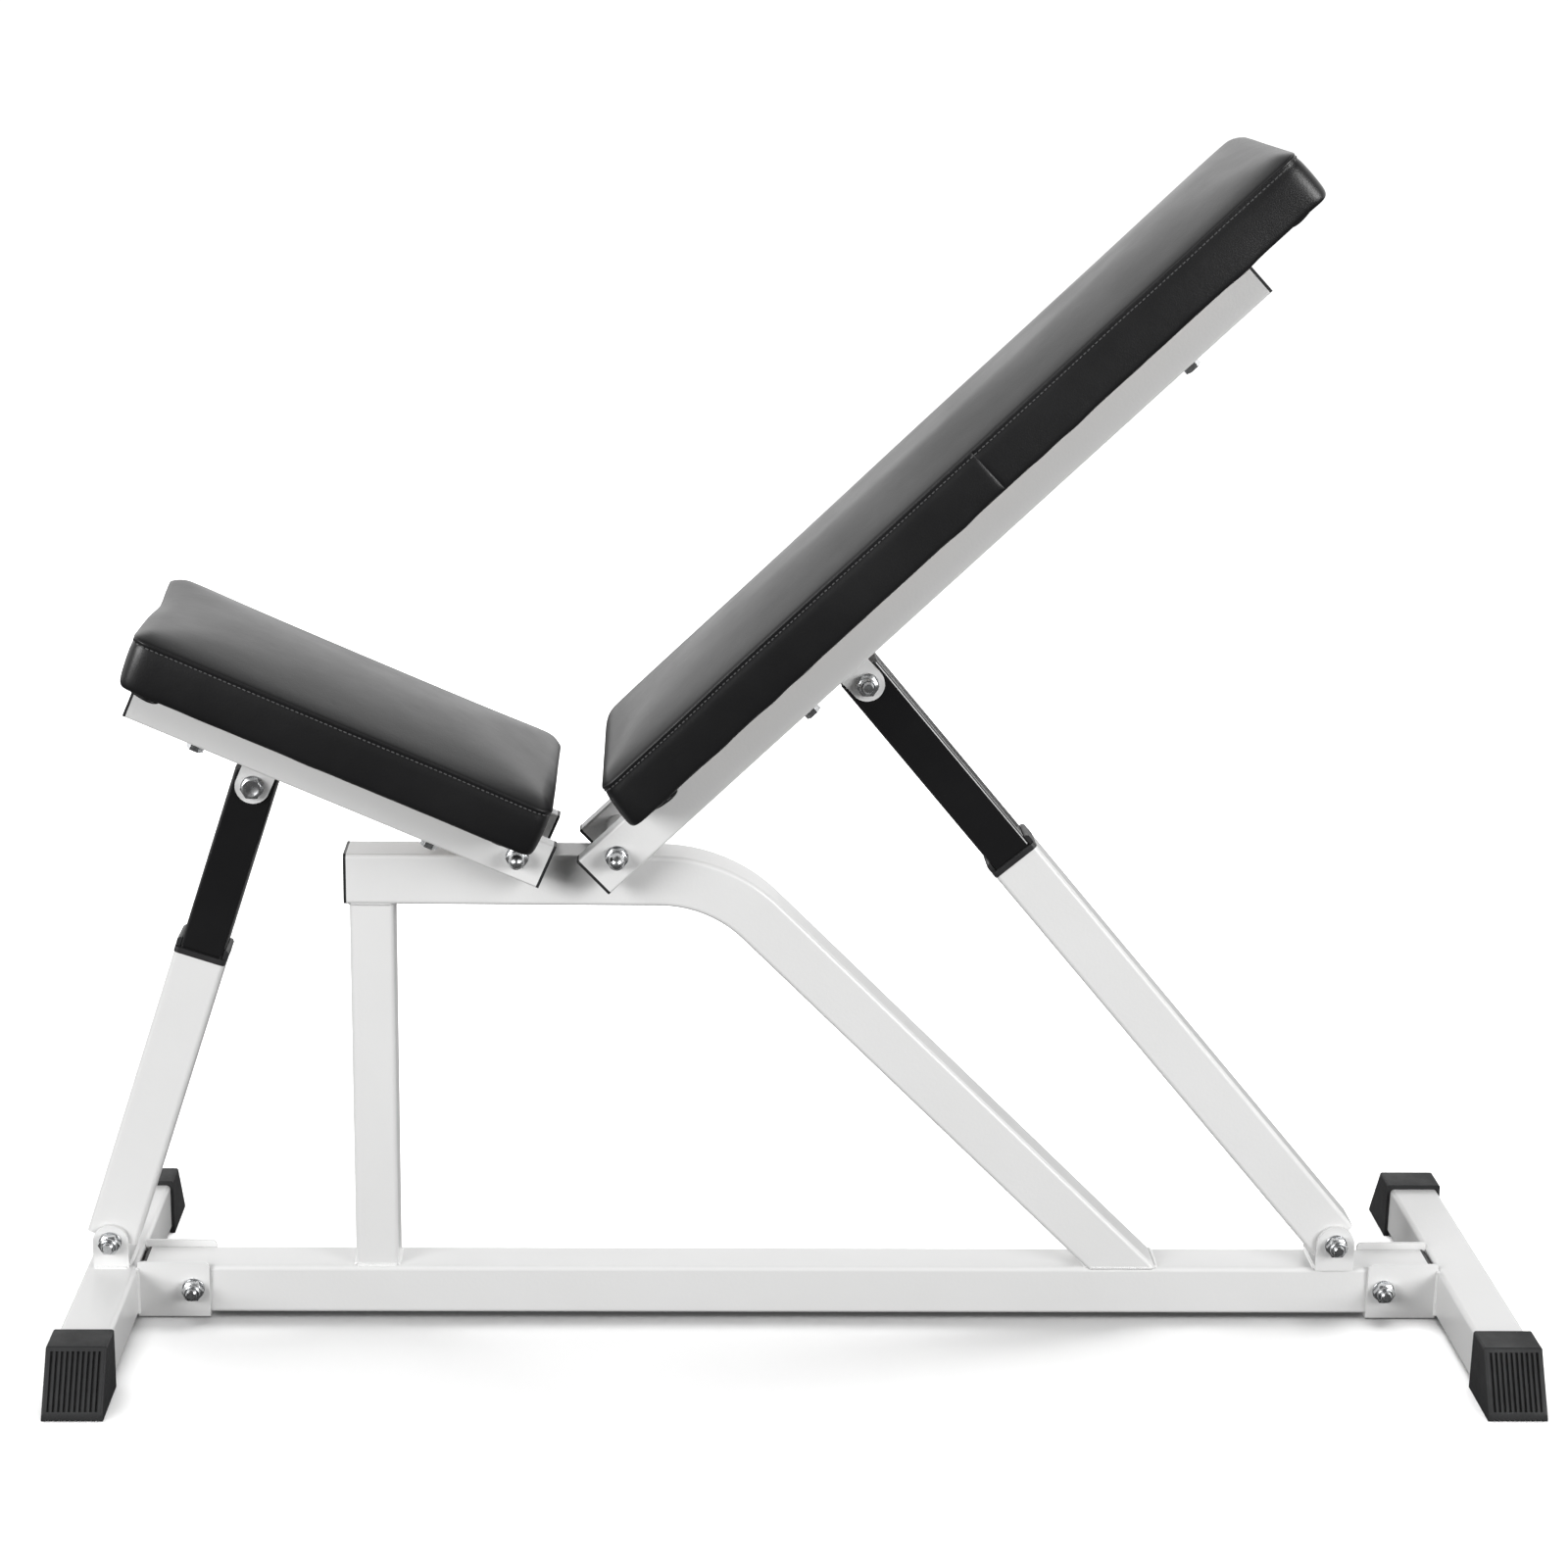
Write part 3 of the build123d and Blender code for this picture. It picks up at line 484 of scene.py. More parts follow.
# %% [markdown]
# Heights are measured outwards from the face a nut or washer sits on, and inwards from the top of a bolt
# head, so that each bolt is drawn in one go from its head to its threaded end.


# %% Rings of each fastener
WASHER = 0.002
WASHER_RADIUS = 0.010
WASHER_SOFT = 0.0003  # rounding of a washer's edge
LOCK_NUT = 0.0095
HEAD = 0.0064
PAST_NUT = 0.0045  # bolt that shows past its nut
THREAD_LONG = 0.0115
THREAD_PITCH = 0.0015
THREAD_DEEP = 0.0006


def washer_rings():
    return [
        (0, SHANK, None), (0, WASHER_RADIUS - WASHER_SOFT, None), (WASHER_SOFT, WASHER_RADIUS, None),
        (WASHER - WASHER_SOFT, WASHER_RADIUS, None), (WASHER, WASHER_RADIUS - WASHER_SOFT, None),
        (WASHER, SHANK, None),
    ]


def nut_body():
    """The rings of the hexagon that every nut starts with."""
    return [
        (0, SHANK, None), (0, FLAT - 0.0004, None), (0, FLAT - 0.0004, CONE),
        (0.0066, FLAT - 0.0005, -CONE), (0.0066, FLAT - 0.0005, None),
    ]


def lock_nut_rings():
    return [
        *nut_body(), (0.0068, 0.0074, None), (0.0086, 0.0073, None), (0.0092, 0.0069, None),
        (LOCK_NUT, 0.0063, None), (0.0094, 0.0058, None), (0.0090, 0.0055, None), (0.0088, SHANK, None),
    ]


def cap_nut_rings():
    dome = [(0.0154 + 0.0068 * sin(a), 0.0068 * cos(a), None) for a in (0, 0.25, 0.5, 0.75, 1.0, 1.25, 1.45)]
    return [*nut_body(), (0.0068, 0.0070, None), (0.0074, 0.0068, None), *dome]


def bolt_rings(length, thread=THREAD_LONG):
    """A hex bolt, from the top of its head. The last part of the shank is threaded."""
    rings = [
        (0.0003, 0.0055, None), (0, 0.0062, None), (0, FLAT - 0.0005, None), (0, FLAT - 0.0005, CONE),
        (HEAD, FLAT, 0.0), (HEAD, SHANK, None),
    ]
    height = length - thread
    while height < length - THREAD_PITCH:
        rings += [(height, SHANK - THREAD_DEEP, None), (height + 0.5 * THREAD_PITCH, SHANK, None)]
        height += THREAD_PITCH
    return rings + [(length - 0.0009, SHANK - 0.0002, None), (length, SHANK - 0.0012, None)]


print("a bolt of 80 mm has", len(bolt_rings(0.080)), "rings")

# %% Where a fastener goes
def body_of(name):
    """The moving group that a part of the model belongs to."""
    return nodes[name].parent.name.split(":")[1]


def middle_of(box, end):
    """The point on the axis of a lump that lies along Y, at its low (0) or high (1) end."""
    low, high = box
    return Vector(((low.x + high.x) / 2, (low.y, high.y)[end], (low.z + high.z) / 2))


def side_of(box):
    """-1 for a lump on the left of the bench and 1 for one on the right."""
    return -1 if box[0].y + box[1].y < 0 else 1


def fastener(name, source, build):
    """Builds one piece for all the lumps of a part, and stands it in the part's place."""
    shape = bmesh.new()
    for box in lumps(source):
        build(shape, box)
    bmesh.ops.recalc_face_normals(shape, faces=shape.faces)
    made = piece(name, shape, body_of(source), zinc, smooth_below=32)
    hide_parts(source)
    print(name, "in place")


print("the first pivot nut is on side", side_of(lumps("pivot_cap_nuts")[0]))

# %% [markdown]
# Three builders cover every fastener: nuts and washers, which grow outwards from the face they sit on, whole
# bolts, and the ends of the strut bolts, which stop at the clevis so that the strut can swing clear.

# %% Replace the plain fasteners
LONGEST_HEAD_END = 0.015  # a strut bolt's end that reaches further than this carries the nut
HEAD_RINGS = 6  # rings of a bolt that belong to its head


def outward_stack(rings):
    """A builder for nuts and washers."""
    def build(shape, box):
        side = side_of(box)
        ring_stack(shape, middle_of(box, 0 if side > 0 else 1), side, rings)
    return build


def whole_bolt(shape, box):
    ring_stack(shape, middle_of(box, 1), -1, bolt_rings(box[1].y - box[0].y))


def strut_bolt_end(shape, box):
    """One end of a strut's bolt, as far in as the clevis: head or nut, washer, and shank."""
    side = side_of(box)
    reach = box[1].y - box[0].y
    has_head = reach < LONGEST_HEAD_END
    inner = middle_of(box, 0 if side > 0 else 1)
    outer = inner + Vector((0, side * reach, 0))
    seat = outer - Vector((0, side * (WASHER + (HEAD if has_head else LOCK_NUT + PAST_NUT)), 0))
    ring_stack(shape, seat, side, washer_rings())
    if has_head:
        ring_stack(shape, outer, -side, bolt_rings(reach, thread=0.0))
    else:
        ring_stack(shape, seat + Vector((0, side * WASHER, 0)), side, lock_nut_rings())
        ring_stack(shape, inner, side, [(0, SHANK, None), *bolt_rings(reach)[HEAD_RINGS:]])


fastener("lock_nuts", "base_lock_nuts", outward_stack(lock_nut_rings()))
fastener("washers", "base_washers", outward_stack(washer_rings()))
fastener("cap_nuts", "pivot_cap_nuts", outward_stack(cap_nut_rings()))
for source in ("bracket_bolts", "strut_foot_bolts", "pivot_bolts"):
    fastener(f"{source}_turned", source, whole_bolt)
for source in ("seat_strut_bolt", "back_strut_bolt"):
    fastener(f"{source}_turned", source, strut_bolt_end)

# %% [markdown]
# ## The pads' own coordinates
#
# Both pads are easier to make lying flat at the origin, and are put in place once they are finished. This
# matrix does that: its X runs along the rails from the pivot, its Z points out of the top of the pad, and
# its Y is whatever makes the three right-handed.


# %% From flat on the bench top to tilted on the frame
def tilted(pivot, tilt, towards):
    """The matrix from a flat pad, measured from the pivot, to its place. towards is -1 or 1 along X."""
    along = Vector((towards * cos(tilt), 0, sin(tilt)))
    out = Vector((-towards * sin(tilt), 0, cos(tilt)))
    across = out.cross(along)
    turned = Matrix((along, across, out)).transposed().to_4x4()
    return Matrix.Translation(pivot) @ turned


PLACES = {
    "seat": tilted(Vector(joints["seat_tilt"]["pos_m"]), SEAT_TILT, -1),
    "back": tilted(Vector(joints["back_tilt"]["pos_m"]), BACK_TILT, 1),
}


def flat_box(part, place):
    """A part's box in the pad's own coordinates."""
    home = place.inverted()
    points = [home @ vert.co for vert in nodes[part].data.vertices]
    lows = Vector([min(p[axis] for p in points) for axis in range(3)])
    highs = Vector([max(p[axis] for p in points) for axis in range(3)])
    return lows, highs


pad_boxes = {name: flat_box(f"{name}_pad", place) for name, place in PLACES.items()}
for name, (low, high) in pad_boxes.items():
    print(name, "pad is", [round(v, 3) for v in high - low], "m")

# %% [markdown]
# ## Weld beads
#
# The frame is welded, and a weld shows under paint as a soft, rippled fillet in each inside corner. The
# welder's torch stops and starts six times per centimetre, and leaves one overlapping scale each time.
# So a bead is a row of leaning, flattened balls, each a little different. One small template, scattered
# along every line, makes all the beads of a body in one mesh.


# %% Rows of scales
def scatter(template, places):
    """One bmesh that holds a copy of a small shape at each place."""
    template.verts.index_update()
    corners = [vert.co.copy() for vert in template.verts]
    faces = [[vert.index for vert in face.verts] for face in template.faces]
    points, polygons = [], []
    for place in places:
        start = len(points)
        points += [place @ corner for corner in corners]
        polygons += [[start + number for number in face] for face in faces]
    gathered = bpy.data.meshes.new("gathered")
    gathered.from_pydata(points, [], polygons)
    shape = bmesh.new()
    shape.from_mesh(gathered)
    bpy.data.meshes.remove(gathered)
    return shape


SCALE_PITCH = 0.0016
BEAD = 0.0025  # half the width of a bead on the base
LEAN = radians(28)


def scales(start, end, up, size=BEAD):
    """Places for the scales of one bead. up points out of the corner that the bead fills."""
    start, end, up = Vector(start), Vector(end), Vector(up).normalized()
    run = end - start
    count = max(2, round(run.length / SCALE_PITCH))
    along = run.normalized()
    across = up.cross(along).normalized()
    frame_at = Matrix((along, across, along.cross(across))).transposed().to_4x4()
    lean = Matrix.Rotation(LEAN, 4, "Y")
    places = []
    for step in range(count):
        spot = start + run * ((step + 0.5) / count)
        vary = 1 + 0.12 * noise.noise(spot * 700)
        stretch = Matrix.Diagonal((size * 0.75 * vary, size * vary, size * 0.7 * vary, 1))
        places.append(Matrix.Translation(spot) @ frame_at @ lean @ stretch)
    return places


scale_shape = bmesh.new()
bmesh.ops.create_uvsphere(scale_shape, u_segments=8, v_segments=5, radius=1.0)
print("one scale has", len(scale_shape.faces), "faces")

# %% [markdown]
# The lines follow the joints: round the foot and the top of the upright, across and along the foot of
# the sloping beam, beside the folded plates and brackets at both ends, and under the pivot tubes.

# %% Lines of beads
CLEAR = 0.002  # a bead along the bench stops this short of each corner
TUBE_FLAT = 0.020  # half of the flat part of a 45 mm tube's face


def bead_across(x, z, half, up):
    """The line of a bead across the bench, and the way it faces."""
    return (x, -half, z), (x, half, z), up


def bead_along(low_x, high_x, y, z, up):
    """The line of a bead along the bench, and the way it faces."""
    return (low_x + CLEAR, y, z), (high_x - CLEAR, y, z), up


print("a bead 40 mm long has", len(scales((0, 0, 0), (0.04, 0, 0), (0, 0, 1))), "scales")

# %% Beads on the base frame
RAIL_TOP = 0.0485  # top of the tubes on the floor
POST_HALF = 0.019
CROSS_FACE = 0.5845  # inner faces of the cross tubes, from the middle of the bench
PLATE_FACE = 0.0257  # outer faces of the bracket plates
PLATE_ENDS = (0.0045, 0.0475)  # lowest and highest point of a bead beside a plate
BUSH_HALF = 0.0058  # where a pivot tube meets the beam, from its middle
BUSH_SINK = 0.0012
BEAM_SIDE = 0.0222
THIN_BEAD = 0.0016

post_low, post_high = lumps("front_post")[0]
foot_xs = [v.co.x for v in nodes["upper_beam"].data.vertices if v.co.z < RAIL_TOP + 0.0003]
heel, toe = min(foot_xs), max(foot_xs)
lines = []
for z, rise in ((RAIL_TOP, 1), (post_high.z, -1)):
    for side, edge in ((-1, post_low.x), (1, post_high.x)):
        lines.append(bead_across(edge, z, POST_HALF - CLEAR, (side, 0, rise)))
        lines.append(bead_along(post_low.x, post_high.x, side * POST_HALF, z, (0, side, rise)))
lines.append(bead_across(heel, RAIL_TOP, TUBE_FLAT, (-1, 0, 1)))
lines.append(bead_across(toe, RAIL_TOP, TUBE_FLAT, (1, 0, 1)))
for end, side in (("front", -1), ("rear", 1)):
    low, high = lumps(f"{end}_base_clevis")[0]
    for hand in (-1, 1):
        foot, head = [(side * CROSS_FACE, hand * PLATE_FACE, z) for z in PLATE_ENDS]
        lines.append((foot, head, (-side, hand, 0)))
    if end == "front":
        for y in (low.y, high.y):
            lines.append(bead_along(low.x, high.x, y, RAIL_TOP, (0, y, abs(y))))
    for x, way in ((low.x, -1), (high.x, 1)):
        lines.append(bead_across(x, RAIL_TOP, TUBE_FLAT, (way, 0, 1)))
for low, high in lumps("pivot_bushes"):
    middle = (low.x + high.x) / 2
    for way in (-1, 1):
        lines.append(bead_across(middle + way * BUSH_HALF, low.z + BUSH_SINK, TUBE_FLAT, (way, 0, 1)))
places = [place for line in lines for place in scales(*line)]
for side in (-1, 1):
    line = bead_along(heel + CLEAR, toe - CLEAR, side * BEAM_SIDE, RAIL_TOP, (0, side, 0))
    places += scales(*line, THIN_BEAD)
shape = scatter(scale_shape, places)
bmesh.ops.recalc_face_normals(shape, faces=shape.faces)
piece("base_weld_beads", shape, "base", white_coat)
print("base frame:", len(lines) + 2, "beads,", len(places), "scales")

# %% [markdown]
# On the seat and the back, cross bars join the rails, and a clevis hangs from one bar of each. These
# lines are written in the pad's own coordinates, where the bars lie square.

# %% Beads on the seat and back frames
BARS = {"seat": ("seat_front_bar", "seat_clevis_bar"), "back": ("back_top_bar", "back_clevis_bar")}
UPRIGHT_CLEAR = 0.001
FRAME_BEAD = 0.0021


def bar_lines(low, high):
    """The beads at both ends of a bar: one under it and one on each side."""
    for y in (low.y, high.y):
        inward = -1 if y > 0 else 1
        yield bead_along(low.x, high.x, y, low.z, (0, inward, -1))
        for x, way in ((low.x, -1), (high.x, 1)):
            yield (x, y, low.z + UPRIGHT_CLEAR), (x, y, high.z - UPRIGHT_CLEAR), (way, inward, 0)


for name, bars in BARS.items():
    turn = PLACES[name].to_3x3()
    lines = [line for bar in bars for line in bar_lines(*flat_box(bar, PLACES[name]))]
    low, high = flat_box(f"{name}_clevis", PLACES[name])
    for y in (low.y, high.y):
        lines.append(bead_along(low.x, high.x, y, high.z, (0, y, -abs(y))))
    places = []
    for start, end, up in lines:
        ends = PLACES[name] @ Vector(start), PLACES[name] @ Vector(end)
        places += scales(*ends, turn @ Vector(up), FRAME_BEAD)
    shape = scatter(scale_shape, places)
    bmesh.ops.recalc_face_normals(shape, faces=shape.faces)
    piece(f"{name}_weld_beads", shape, name, white_coat)
    print(name, "frame:", len(lines), "beads,", len(places), "scales")
scale_shape.free()

# %% [markdown]
# ## The pad as a sewn cover
#
# A pad is foam on a board, in a cover of two panels: a top, and a band round the sides that is folded
# under and stapled. The seam between them is a firm line, 43.5 mm above the underside of the board, and
# the top swells above it. A rounded box would have neither seam nor swell. So the cover starts as an even
# grid whose rim is extruded down the sides, in steps, and under the board, which gives rows of points
# where the seam, the stitches and the bottom roll will be.

# %% Pad dimensions
CELL = 0.0088  # spacing of the points in the cover
SEAM_UP = 0.0435  # the seam, above the board's underside
SHOULDER = 0.0062  # rise of the top panel near the seam, before it swells
CROWN = 0.0016  # further rise to the middle
CROWN_RUN = (0.14, 0.11)  # how far in from the ends and the sides it is complete
SHOULDERS = {"left": 0.024, "right": 0.012, "ends": 0.010}  # how far in each shoulder reaches
PLAN_RADIUS = 0.011  # corner radius of the pad, seen from above
SIDE_SLACK = 0.0020  # the cover starts this much inside the pad's box at the sides, and swells
END_REACH = {"seat": (0.0022, 0.0004), "back": (0.0060, 0.0014)}  # and reaches this much past it at each end
HEEL_REACH = {"seat": (0.0, -0.0025), "back": (0.0065, 0.0)}  # further reach of the band's foot
HEM = 0.052  # width of the cover folded under the board
HEM_DROP = 0.0009  # how far the hem lies below the board
LID_RISE = 0.0030  # its inner edge is turned up this far

# Rows of the band, from the seam down: height above the board's underside, and how far in from the side.
BAND_ROWS = (
    (0.0415, -0.0013),
    (0.0388, -0.0004),
    (0.0345, -0.0010),
    (0.0270, -0.0013),
    (0.0195, -0.0014),
    (0.0120, -0.0012),
    (0.0052, -0.0008),
    (0.0014, 0.0002),
    (-0.0007, 0.0024),
    (-HEM_DROP, 0.0090),
    (-HEM_DROP, 0.0200),
    (-HEM_DROP, HEM),
)
STITCH_ROW = 1  # the row of the band that the stitches run along
FREE_ROWS = 7  # rows that the foam may push out; those below are held by the board
print("the band has", len(BAND_ROWS), "rows below the seam")


# %% [markdown]
# The grid's square corners become round by pulling each point of a corner square in until its distance
# from the corner's centre equals its distance along the longer side. Rings of squares turn into rings of
# arcs, and the rows keep their even spacing.


# %% Round the plan of a grid
def outward(x, y, half_x, half_y, radius):
    """The direction out of a rounded rectangle, at a point on its edge."""
    over_x = max(0.0, abs(x) - (half_x - radius))
    over_y = max(0.0, abs(y) - (half_y - radius))
    if over_x > 0 and over_y > 0:
        way = Vector((over_x, over_y, 0)).normalized()
    elif abs(x) / half_x > abs(y) / half_y:
        way = Vector((1, 0, 0))
    else:
        way = Vector((0, 1, 0))
    return Vector((way.x if x > 0 else -way.x, way.y if y > 0 else -way.y, 0))


def round_plan(verts, half_x, half_y, radius):
    """Pulls the corner squares of a grid into quarter circles."""
    for vert in verts:
        over_x = abs(vert.co.x) - (half_x - radius)
        over_y = abs(vert.co.y) - (half_y - radius)
        if over_x > 0 and over_y > 0:
            shrink = max(over_x, over_y) / hypot(over_x, over_y)
            vert.co.x = (half_x - radius + over_x * shrink) * (1 if vert.co.x > 0 else -1)
            vert.co.y = (half_y - radius + over_y * shrink) * (1 if vert.co.y > 0 else -1)


print("a corner point moves in by up to", round((1 - 1 / 2**0.5) * PLAN_RADIUS * 1000, 1), "mm")


# %% [markdown]
# The top panel comes first. Its rim is the seam, and hand-sewn seams are never quite straight, so it
# wanders up and down a little. The wander is noise, which gives the same pad on every run. Inside the
# seam the panel rises in a steep shoulder, and then slowly to the middle.

# %% Cut the top panel
SEAM_SWING = 0.0008
SWING_PITCH = 0.08  # length of one wander of the seam
NOISE_LAYER = {"seat": 0.72, "back": 1.71}  # each pad reads its own slice of the noise


def rounded(share):
    """Rises from 0 to 1 as the share does, steeply at first and level at the end."""
    return (1 - (1 - min(1.0, max(0.0, share))) ** 2) ** 0.8


def top_panel(name, length, width, half_x, half_y):
    """The top of a cover, and the set of points on its rim."""
    shape = bmesh.new()
    bmesh.ops.create_grid(shape, x_segments=round(length / CELL), y_segments=round(width / CELL), size=0.5)
    bmesh.ops.scale(shape, vec=(2 * half_x, 2 * half_y, 1), verts=shape.verts)
    bmesh.ops.translate(shape, vec=(0, 0, SEAM_UP), verts=shape.verts)
    round_plan(shape.verts, half_x, half_y, PLAN_RADIUS)
    seam = {vert for edge in shape.edges if edge.is_boundary for vert in edge.verts}
    for vert in seam:
        spot = Vector((vert.co.x / SWING_PITCH, vert.co.y / SWING_PITCH, NOISE_LAYER[name]))
        vert.co.z += SEAM_SWING * noise.noise(spot)
    for vert in set(shape.verts) - seam:
        in_x, in_y = half_x - abs(vert.co.x), half_y - abs(vert.co.y)
        # Laid flat, the seat pad is turned round, so the bench's left is on its other side.
        left = (vert.co.y < 0) == (name == "back")
        level = rounded(in_x / SHOULDERS["ends"]) * rounded(in_y / SHOULDERS["left" if left else "right"])
        swell = rounded(in_x / CROWN_RUN[0]) * rounded(in_y / CROWN_RUN[1])
        vert.co.z += SHOULDER * level + CROWN * swell
    return shape, seam


print("the seam wanders by up to", SEAM_SWING * 1000, "mm")

# %% [markdown]
# The rim is then extruded row by row into the band. The lower rows make a soft roll round the board's
# edge, and it wanders too, because the vinyl is pulled round by hand between one staple and the next.

# %% Hang the band
WANDER = {"seat": 0.0008, "back": 0.0019}  # how far the bottom roll wanders
WANDER_PITCH = 0.030
WANDER_LAYER = 5.0
END_WANDER = 0.0004  # the ends are pulled tight, and wander less
ROLL_UP = 0.0200  # the bottom roll reaches this high


def next_row(shape, rim, above):
    """Extrudes the rim once. Gives the new rim, and the seam point above each new point."""
    grown = bmesh.ops.extrude_edge_only(shape, edges=rim)["geom"]
    tops = {}
    for vert in [item for item in grown if isinstance(item, bmesh.types.BMVert)]:
        for edge in vert.link_edges:
            other = edge.other_vert(vert)
            if other in above:
                tops[vert] = above[other]
    return [item for item in grown if isinstance(item, bmesh.types.BMEdge)], tops


def hang_band(shape, name, seam, half_x, half_y):
    """Extrudes the rim down the sides and under the board. Gives the last rim and every row."""
    ways = {vert: outward(vert.co.x, vert.co.y, half_x, half_y, PLAN_RADIUS) for vert in seam}
    rim = [edge for edge in shape.edges if edge.is_boundary]
    above = {vert: vert for vert in seam}
    rows = []
    for height, inset in BAND_ROWS:
        rim, above = next_row(shape, rim, above)
        roll = max(0.0, 1 - height / ROLL_UP)
        for vert, top in above.items():
            way = ways[top]
            at_end = abs(way.x)
            spot = Vector((top.co.x / WANDER_PITCH, top.co.y / WANDER_PITCH, WANDER_LAYER))
            drop = WANDER[name] * noise.noise(spot)
            if at_end > 0.7:
                drop = min(drop, END_WANDER)
            heel = HEEL_REACH[name][0 if top.co.x < 0 else 1] * at_end * (1 - max(0.0, height) / SEAM_UP)
            vert.co = top.co - way * (inset - (heel if height > -HEM_DROP else 0.0))
            vert.co.z = height + (top.co.z - SEAM_UP) * (1 - roll) - drop * min(1.0, roll)
            if height < 0:
                vert.co.z = min(vert.co.z, height)
        rows.append(list(above))
    return rim, rows


print("the band hangs in", len(BAND_ROWS), "rows")

# %% [markdown]
# The ends reach a little past the foam, and the front of the seat bulges at its right corner, where the
# cover has worked loose. Last, the inner edge of the hem is turned up against the board and closed.

# %% Draw out the ends and close the cover
END_FROM = 0.6  # share of the half length where the ends begin to draw out
BULGE = 0.0050  # at the seat's right front corner
BULGE_FROM = 0.15  # share of the half width where it begins
TUCK = 0.0022  # the cover is drawn in this far near the middle of the seat's front
TUCK_AT = 0.12
TUCK_WIDE = 0.28


def draw_out(shape, name, half_x, half_y):
    """Moves the ends of a cover outwards, more and more towards the very end."""
    for vert in shape.verts:
        end = 0 if vert.co.x < 0 else 1
        near_end = max(0.0, abs(vert.co.x) / half_x - END_FROM) / (1 - END_FROM)
        reach = END_REACH[name][end]
        if name == "seat" and end:
            far = -vert.co.y / half_y
            reach += BULGE * max(0.0, (far - BULGE_FROM) / (1 - BULGE_FROM)) ** 1.5
            reach -= TUCK * exp(-(((far - TUCK_AT) / TUCK_WIDE) ** 2))
        vert.co.x += reach * near_end**2 * (1 if end else -1)


def close_under(shape, rim):
    """Turns the hem's edge up and fills the hole. Gives the points of the edge."""
    grown = bmesh.ops.extrude_edge_only(shape, edges=rim)["geom"]
    lid = [item for item in grown if isinstance(item, bmesh.types.BMVert)]
    rim = [item for item in grown if isinstance(item, bmesh.types.BMEdge)]
    bmesh.ops.translate(shape, vec=(0, 0, LID_RISE), verts=lid)
    bmesh.ops.triangle_fill(shape, use_beauty=True, use_dissolve=False, edges=rim)
    bmesh.ops.recalc_face_normals(shape, faces=shape.faces)
    return lid


covers = {}
for name, (low, high) in pad_boxes.items():
    length, width = high.x - low.x, high.y - low.y
    halves = length / 2, width / 2 - SIDE_SLACK
    shape, seam = top_panel(name, length, width, *halves)
    rim, rows = hang_band(shape, name, seam, *halves)
    draw_out(shape, name, *halves)
    lid = close_under(shape, rim)
    shape.verts.index_update()
    marks = {
        "seam": {vert.index for vert in seam},
        "rows": [{vert.index for vert in row} for row in rows],
        "lid": {vert.index for vert in lid},
    }
    covers[name] = (shape, marks)
    print(name, "cover:", len(shape.verts), "points")

# %% [markdown]
# ## Foam under tension
#
# Foam pushes its cover out everywhere except where the cover is held: at the board, and along the firm
# sewn seam. Cloth simulation does the same with air pressure in place of foam. The held points are a
# vertex group, gravity is off, and no point may move more than about a centimetre, because upholstery
# foam is stiff. The simulated points are read back by number, so the rows are still known afterwards.

# %% Inflate each cover
FOAM_PRESSURE = 4.0
FRAMES = 20
MOST_SWELL = 0.0105
SEAM_HOLD = 0.85
BAND_HOLD = 0.35  # the band is glued to the foam, so it swells less than the top


def inflate(name, shape, marks):
    """Swells the free part of a cover by cloth simulation, and writes the result back into the bmesh."""
    mesh = bpy.data.meshes.new(f"{name}_trial")
    shape.to_mesh(mesh)
    trial = bpy.data.objects.new(f"{name}_trial", mesh)
    bpy.context.scene.collection.objects.link(trial)
    held = trial.vertex_groups.new(name="held")
    held.add(sorted(marks["seam"]), SEAM_HOLD, "REPLACE")
    for number, row in enumerate(marks["rows"]):
        held.add(sorted(row), 1.0 if number >= FREE_ROWS else BAND_HOLD, "REPLACE")
    held.add(sorted(marks["lid"]), 1.0, "REPLACE")
    cloth = trial.modifiers.new("foam", "CLOTH")
    cloth.settings.quality = 6
    cloth.settings.mass = 0.35
    cloth.settings.tension_stiffness = 12
    cloth.settings.compression_stiffness = 12
    cloth.settings.bending_stiffness = 9.0
    cloth.settings.use_pressure = True
    cloth.settings.uniform_pressure_force = FOAM_PRESSURE
    cloth.settings.vertex_group_mass = "held"
    cloth.settings.effector_weights.gravity = 0
    scene = bpy.context.scene
    scene.frame_start = 1
    scene.frame_end = FRAMES
    cloth.point_cache.frame_start = 1
    cloth.point_cache.frame_end = FRAMES
    for step in range(1, FRAMES + 1):
        scene.frame_set(step)
    settled = trial.evaluated_get(bpy.context.evaluated_depsgraph_get()).data
    shape.verts.ensure_lookup_table()
    furthest = 0.0
    for vert, moved in zip(shape.verts, settled.vertices):
        way = moved.co - vert.co
        if way.length > MOST_SWELL:
            way *= MOST_SWELL / way.length
        furthest = max(furthest, way.length)
        vert.co += way
    scene.frame_set(1)
    bpy.data.objects.remove(trial)
    bpy.data.meshes.remove(mesh)
    return furthest


for name, (shape, marks) in covers.items():
    print(name, "pad swells by up to", round(inflate(name, shape, marks) * 1000, 1), "mm")

# %% [markdown]
# ## Sew the seam
#
# A seam is a narrow valley with a soft roll on each side, where the two panels turn in to meet. The row
# of edges along it is bevelled into a strip two faces wide, and the strip's middle line is pushed in. The
# band is one strip of vinyl joined end to end, so it has an upright seam too, halfway up the left side of
# the back pad. The row of stitches below the seam pulls the vinyl in slightly.

# %% Valleys for the seams
VALLEY = 0.0011  # half the width of the seam's valley
VALLEY_DEPTH = 0.0006
STITCH_PULL = 0.0006  # how far the stitches draw the vinyl in
JOIN_AT = 0.457  # the band's own seam, along the rails from the pivot
JOIN = 0.0010
JOIN_DEPTH = 0.0009


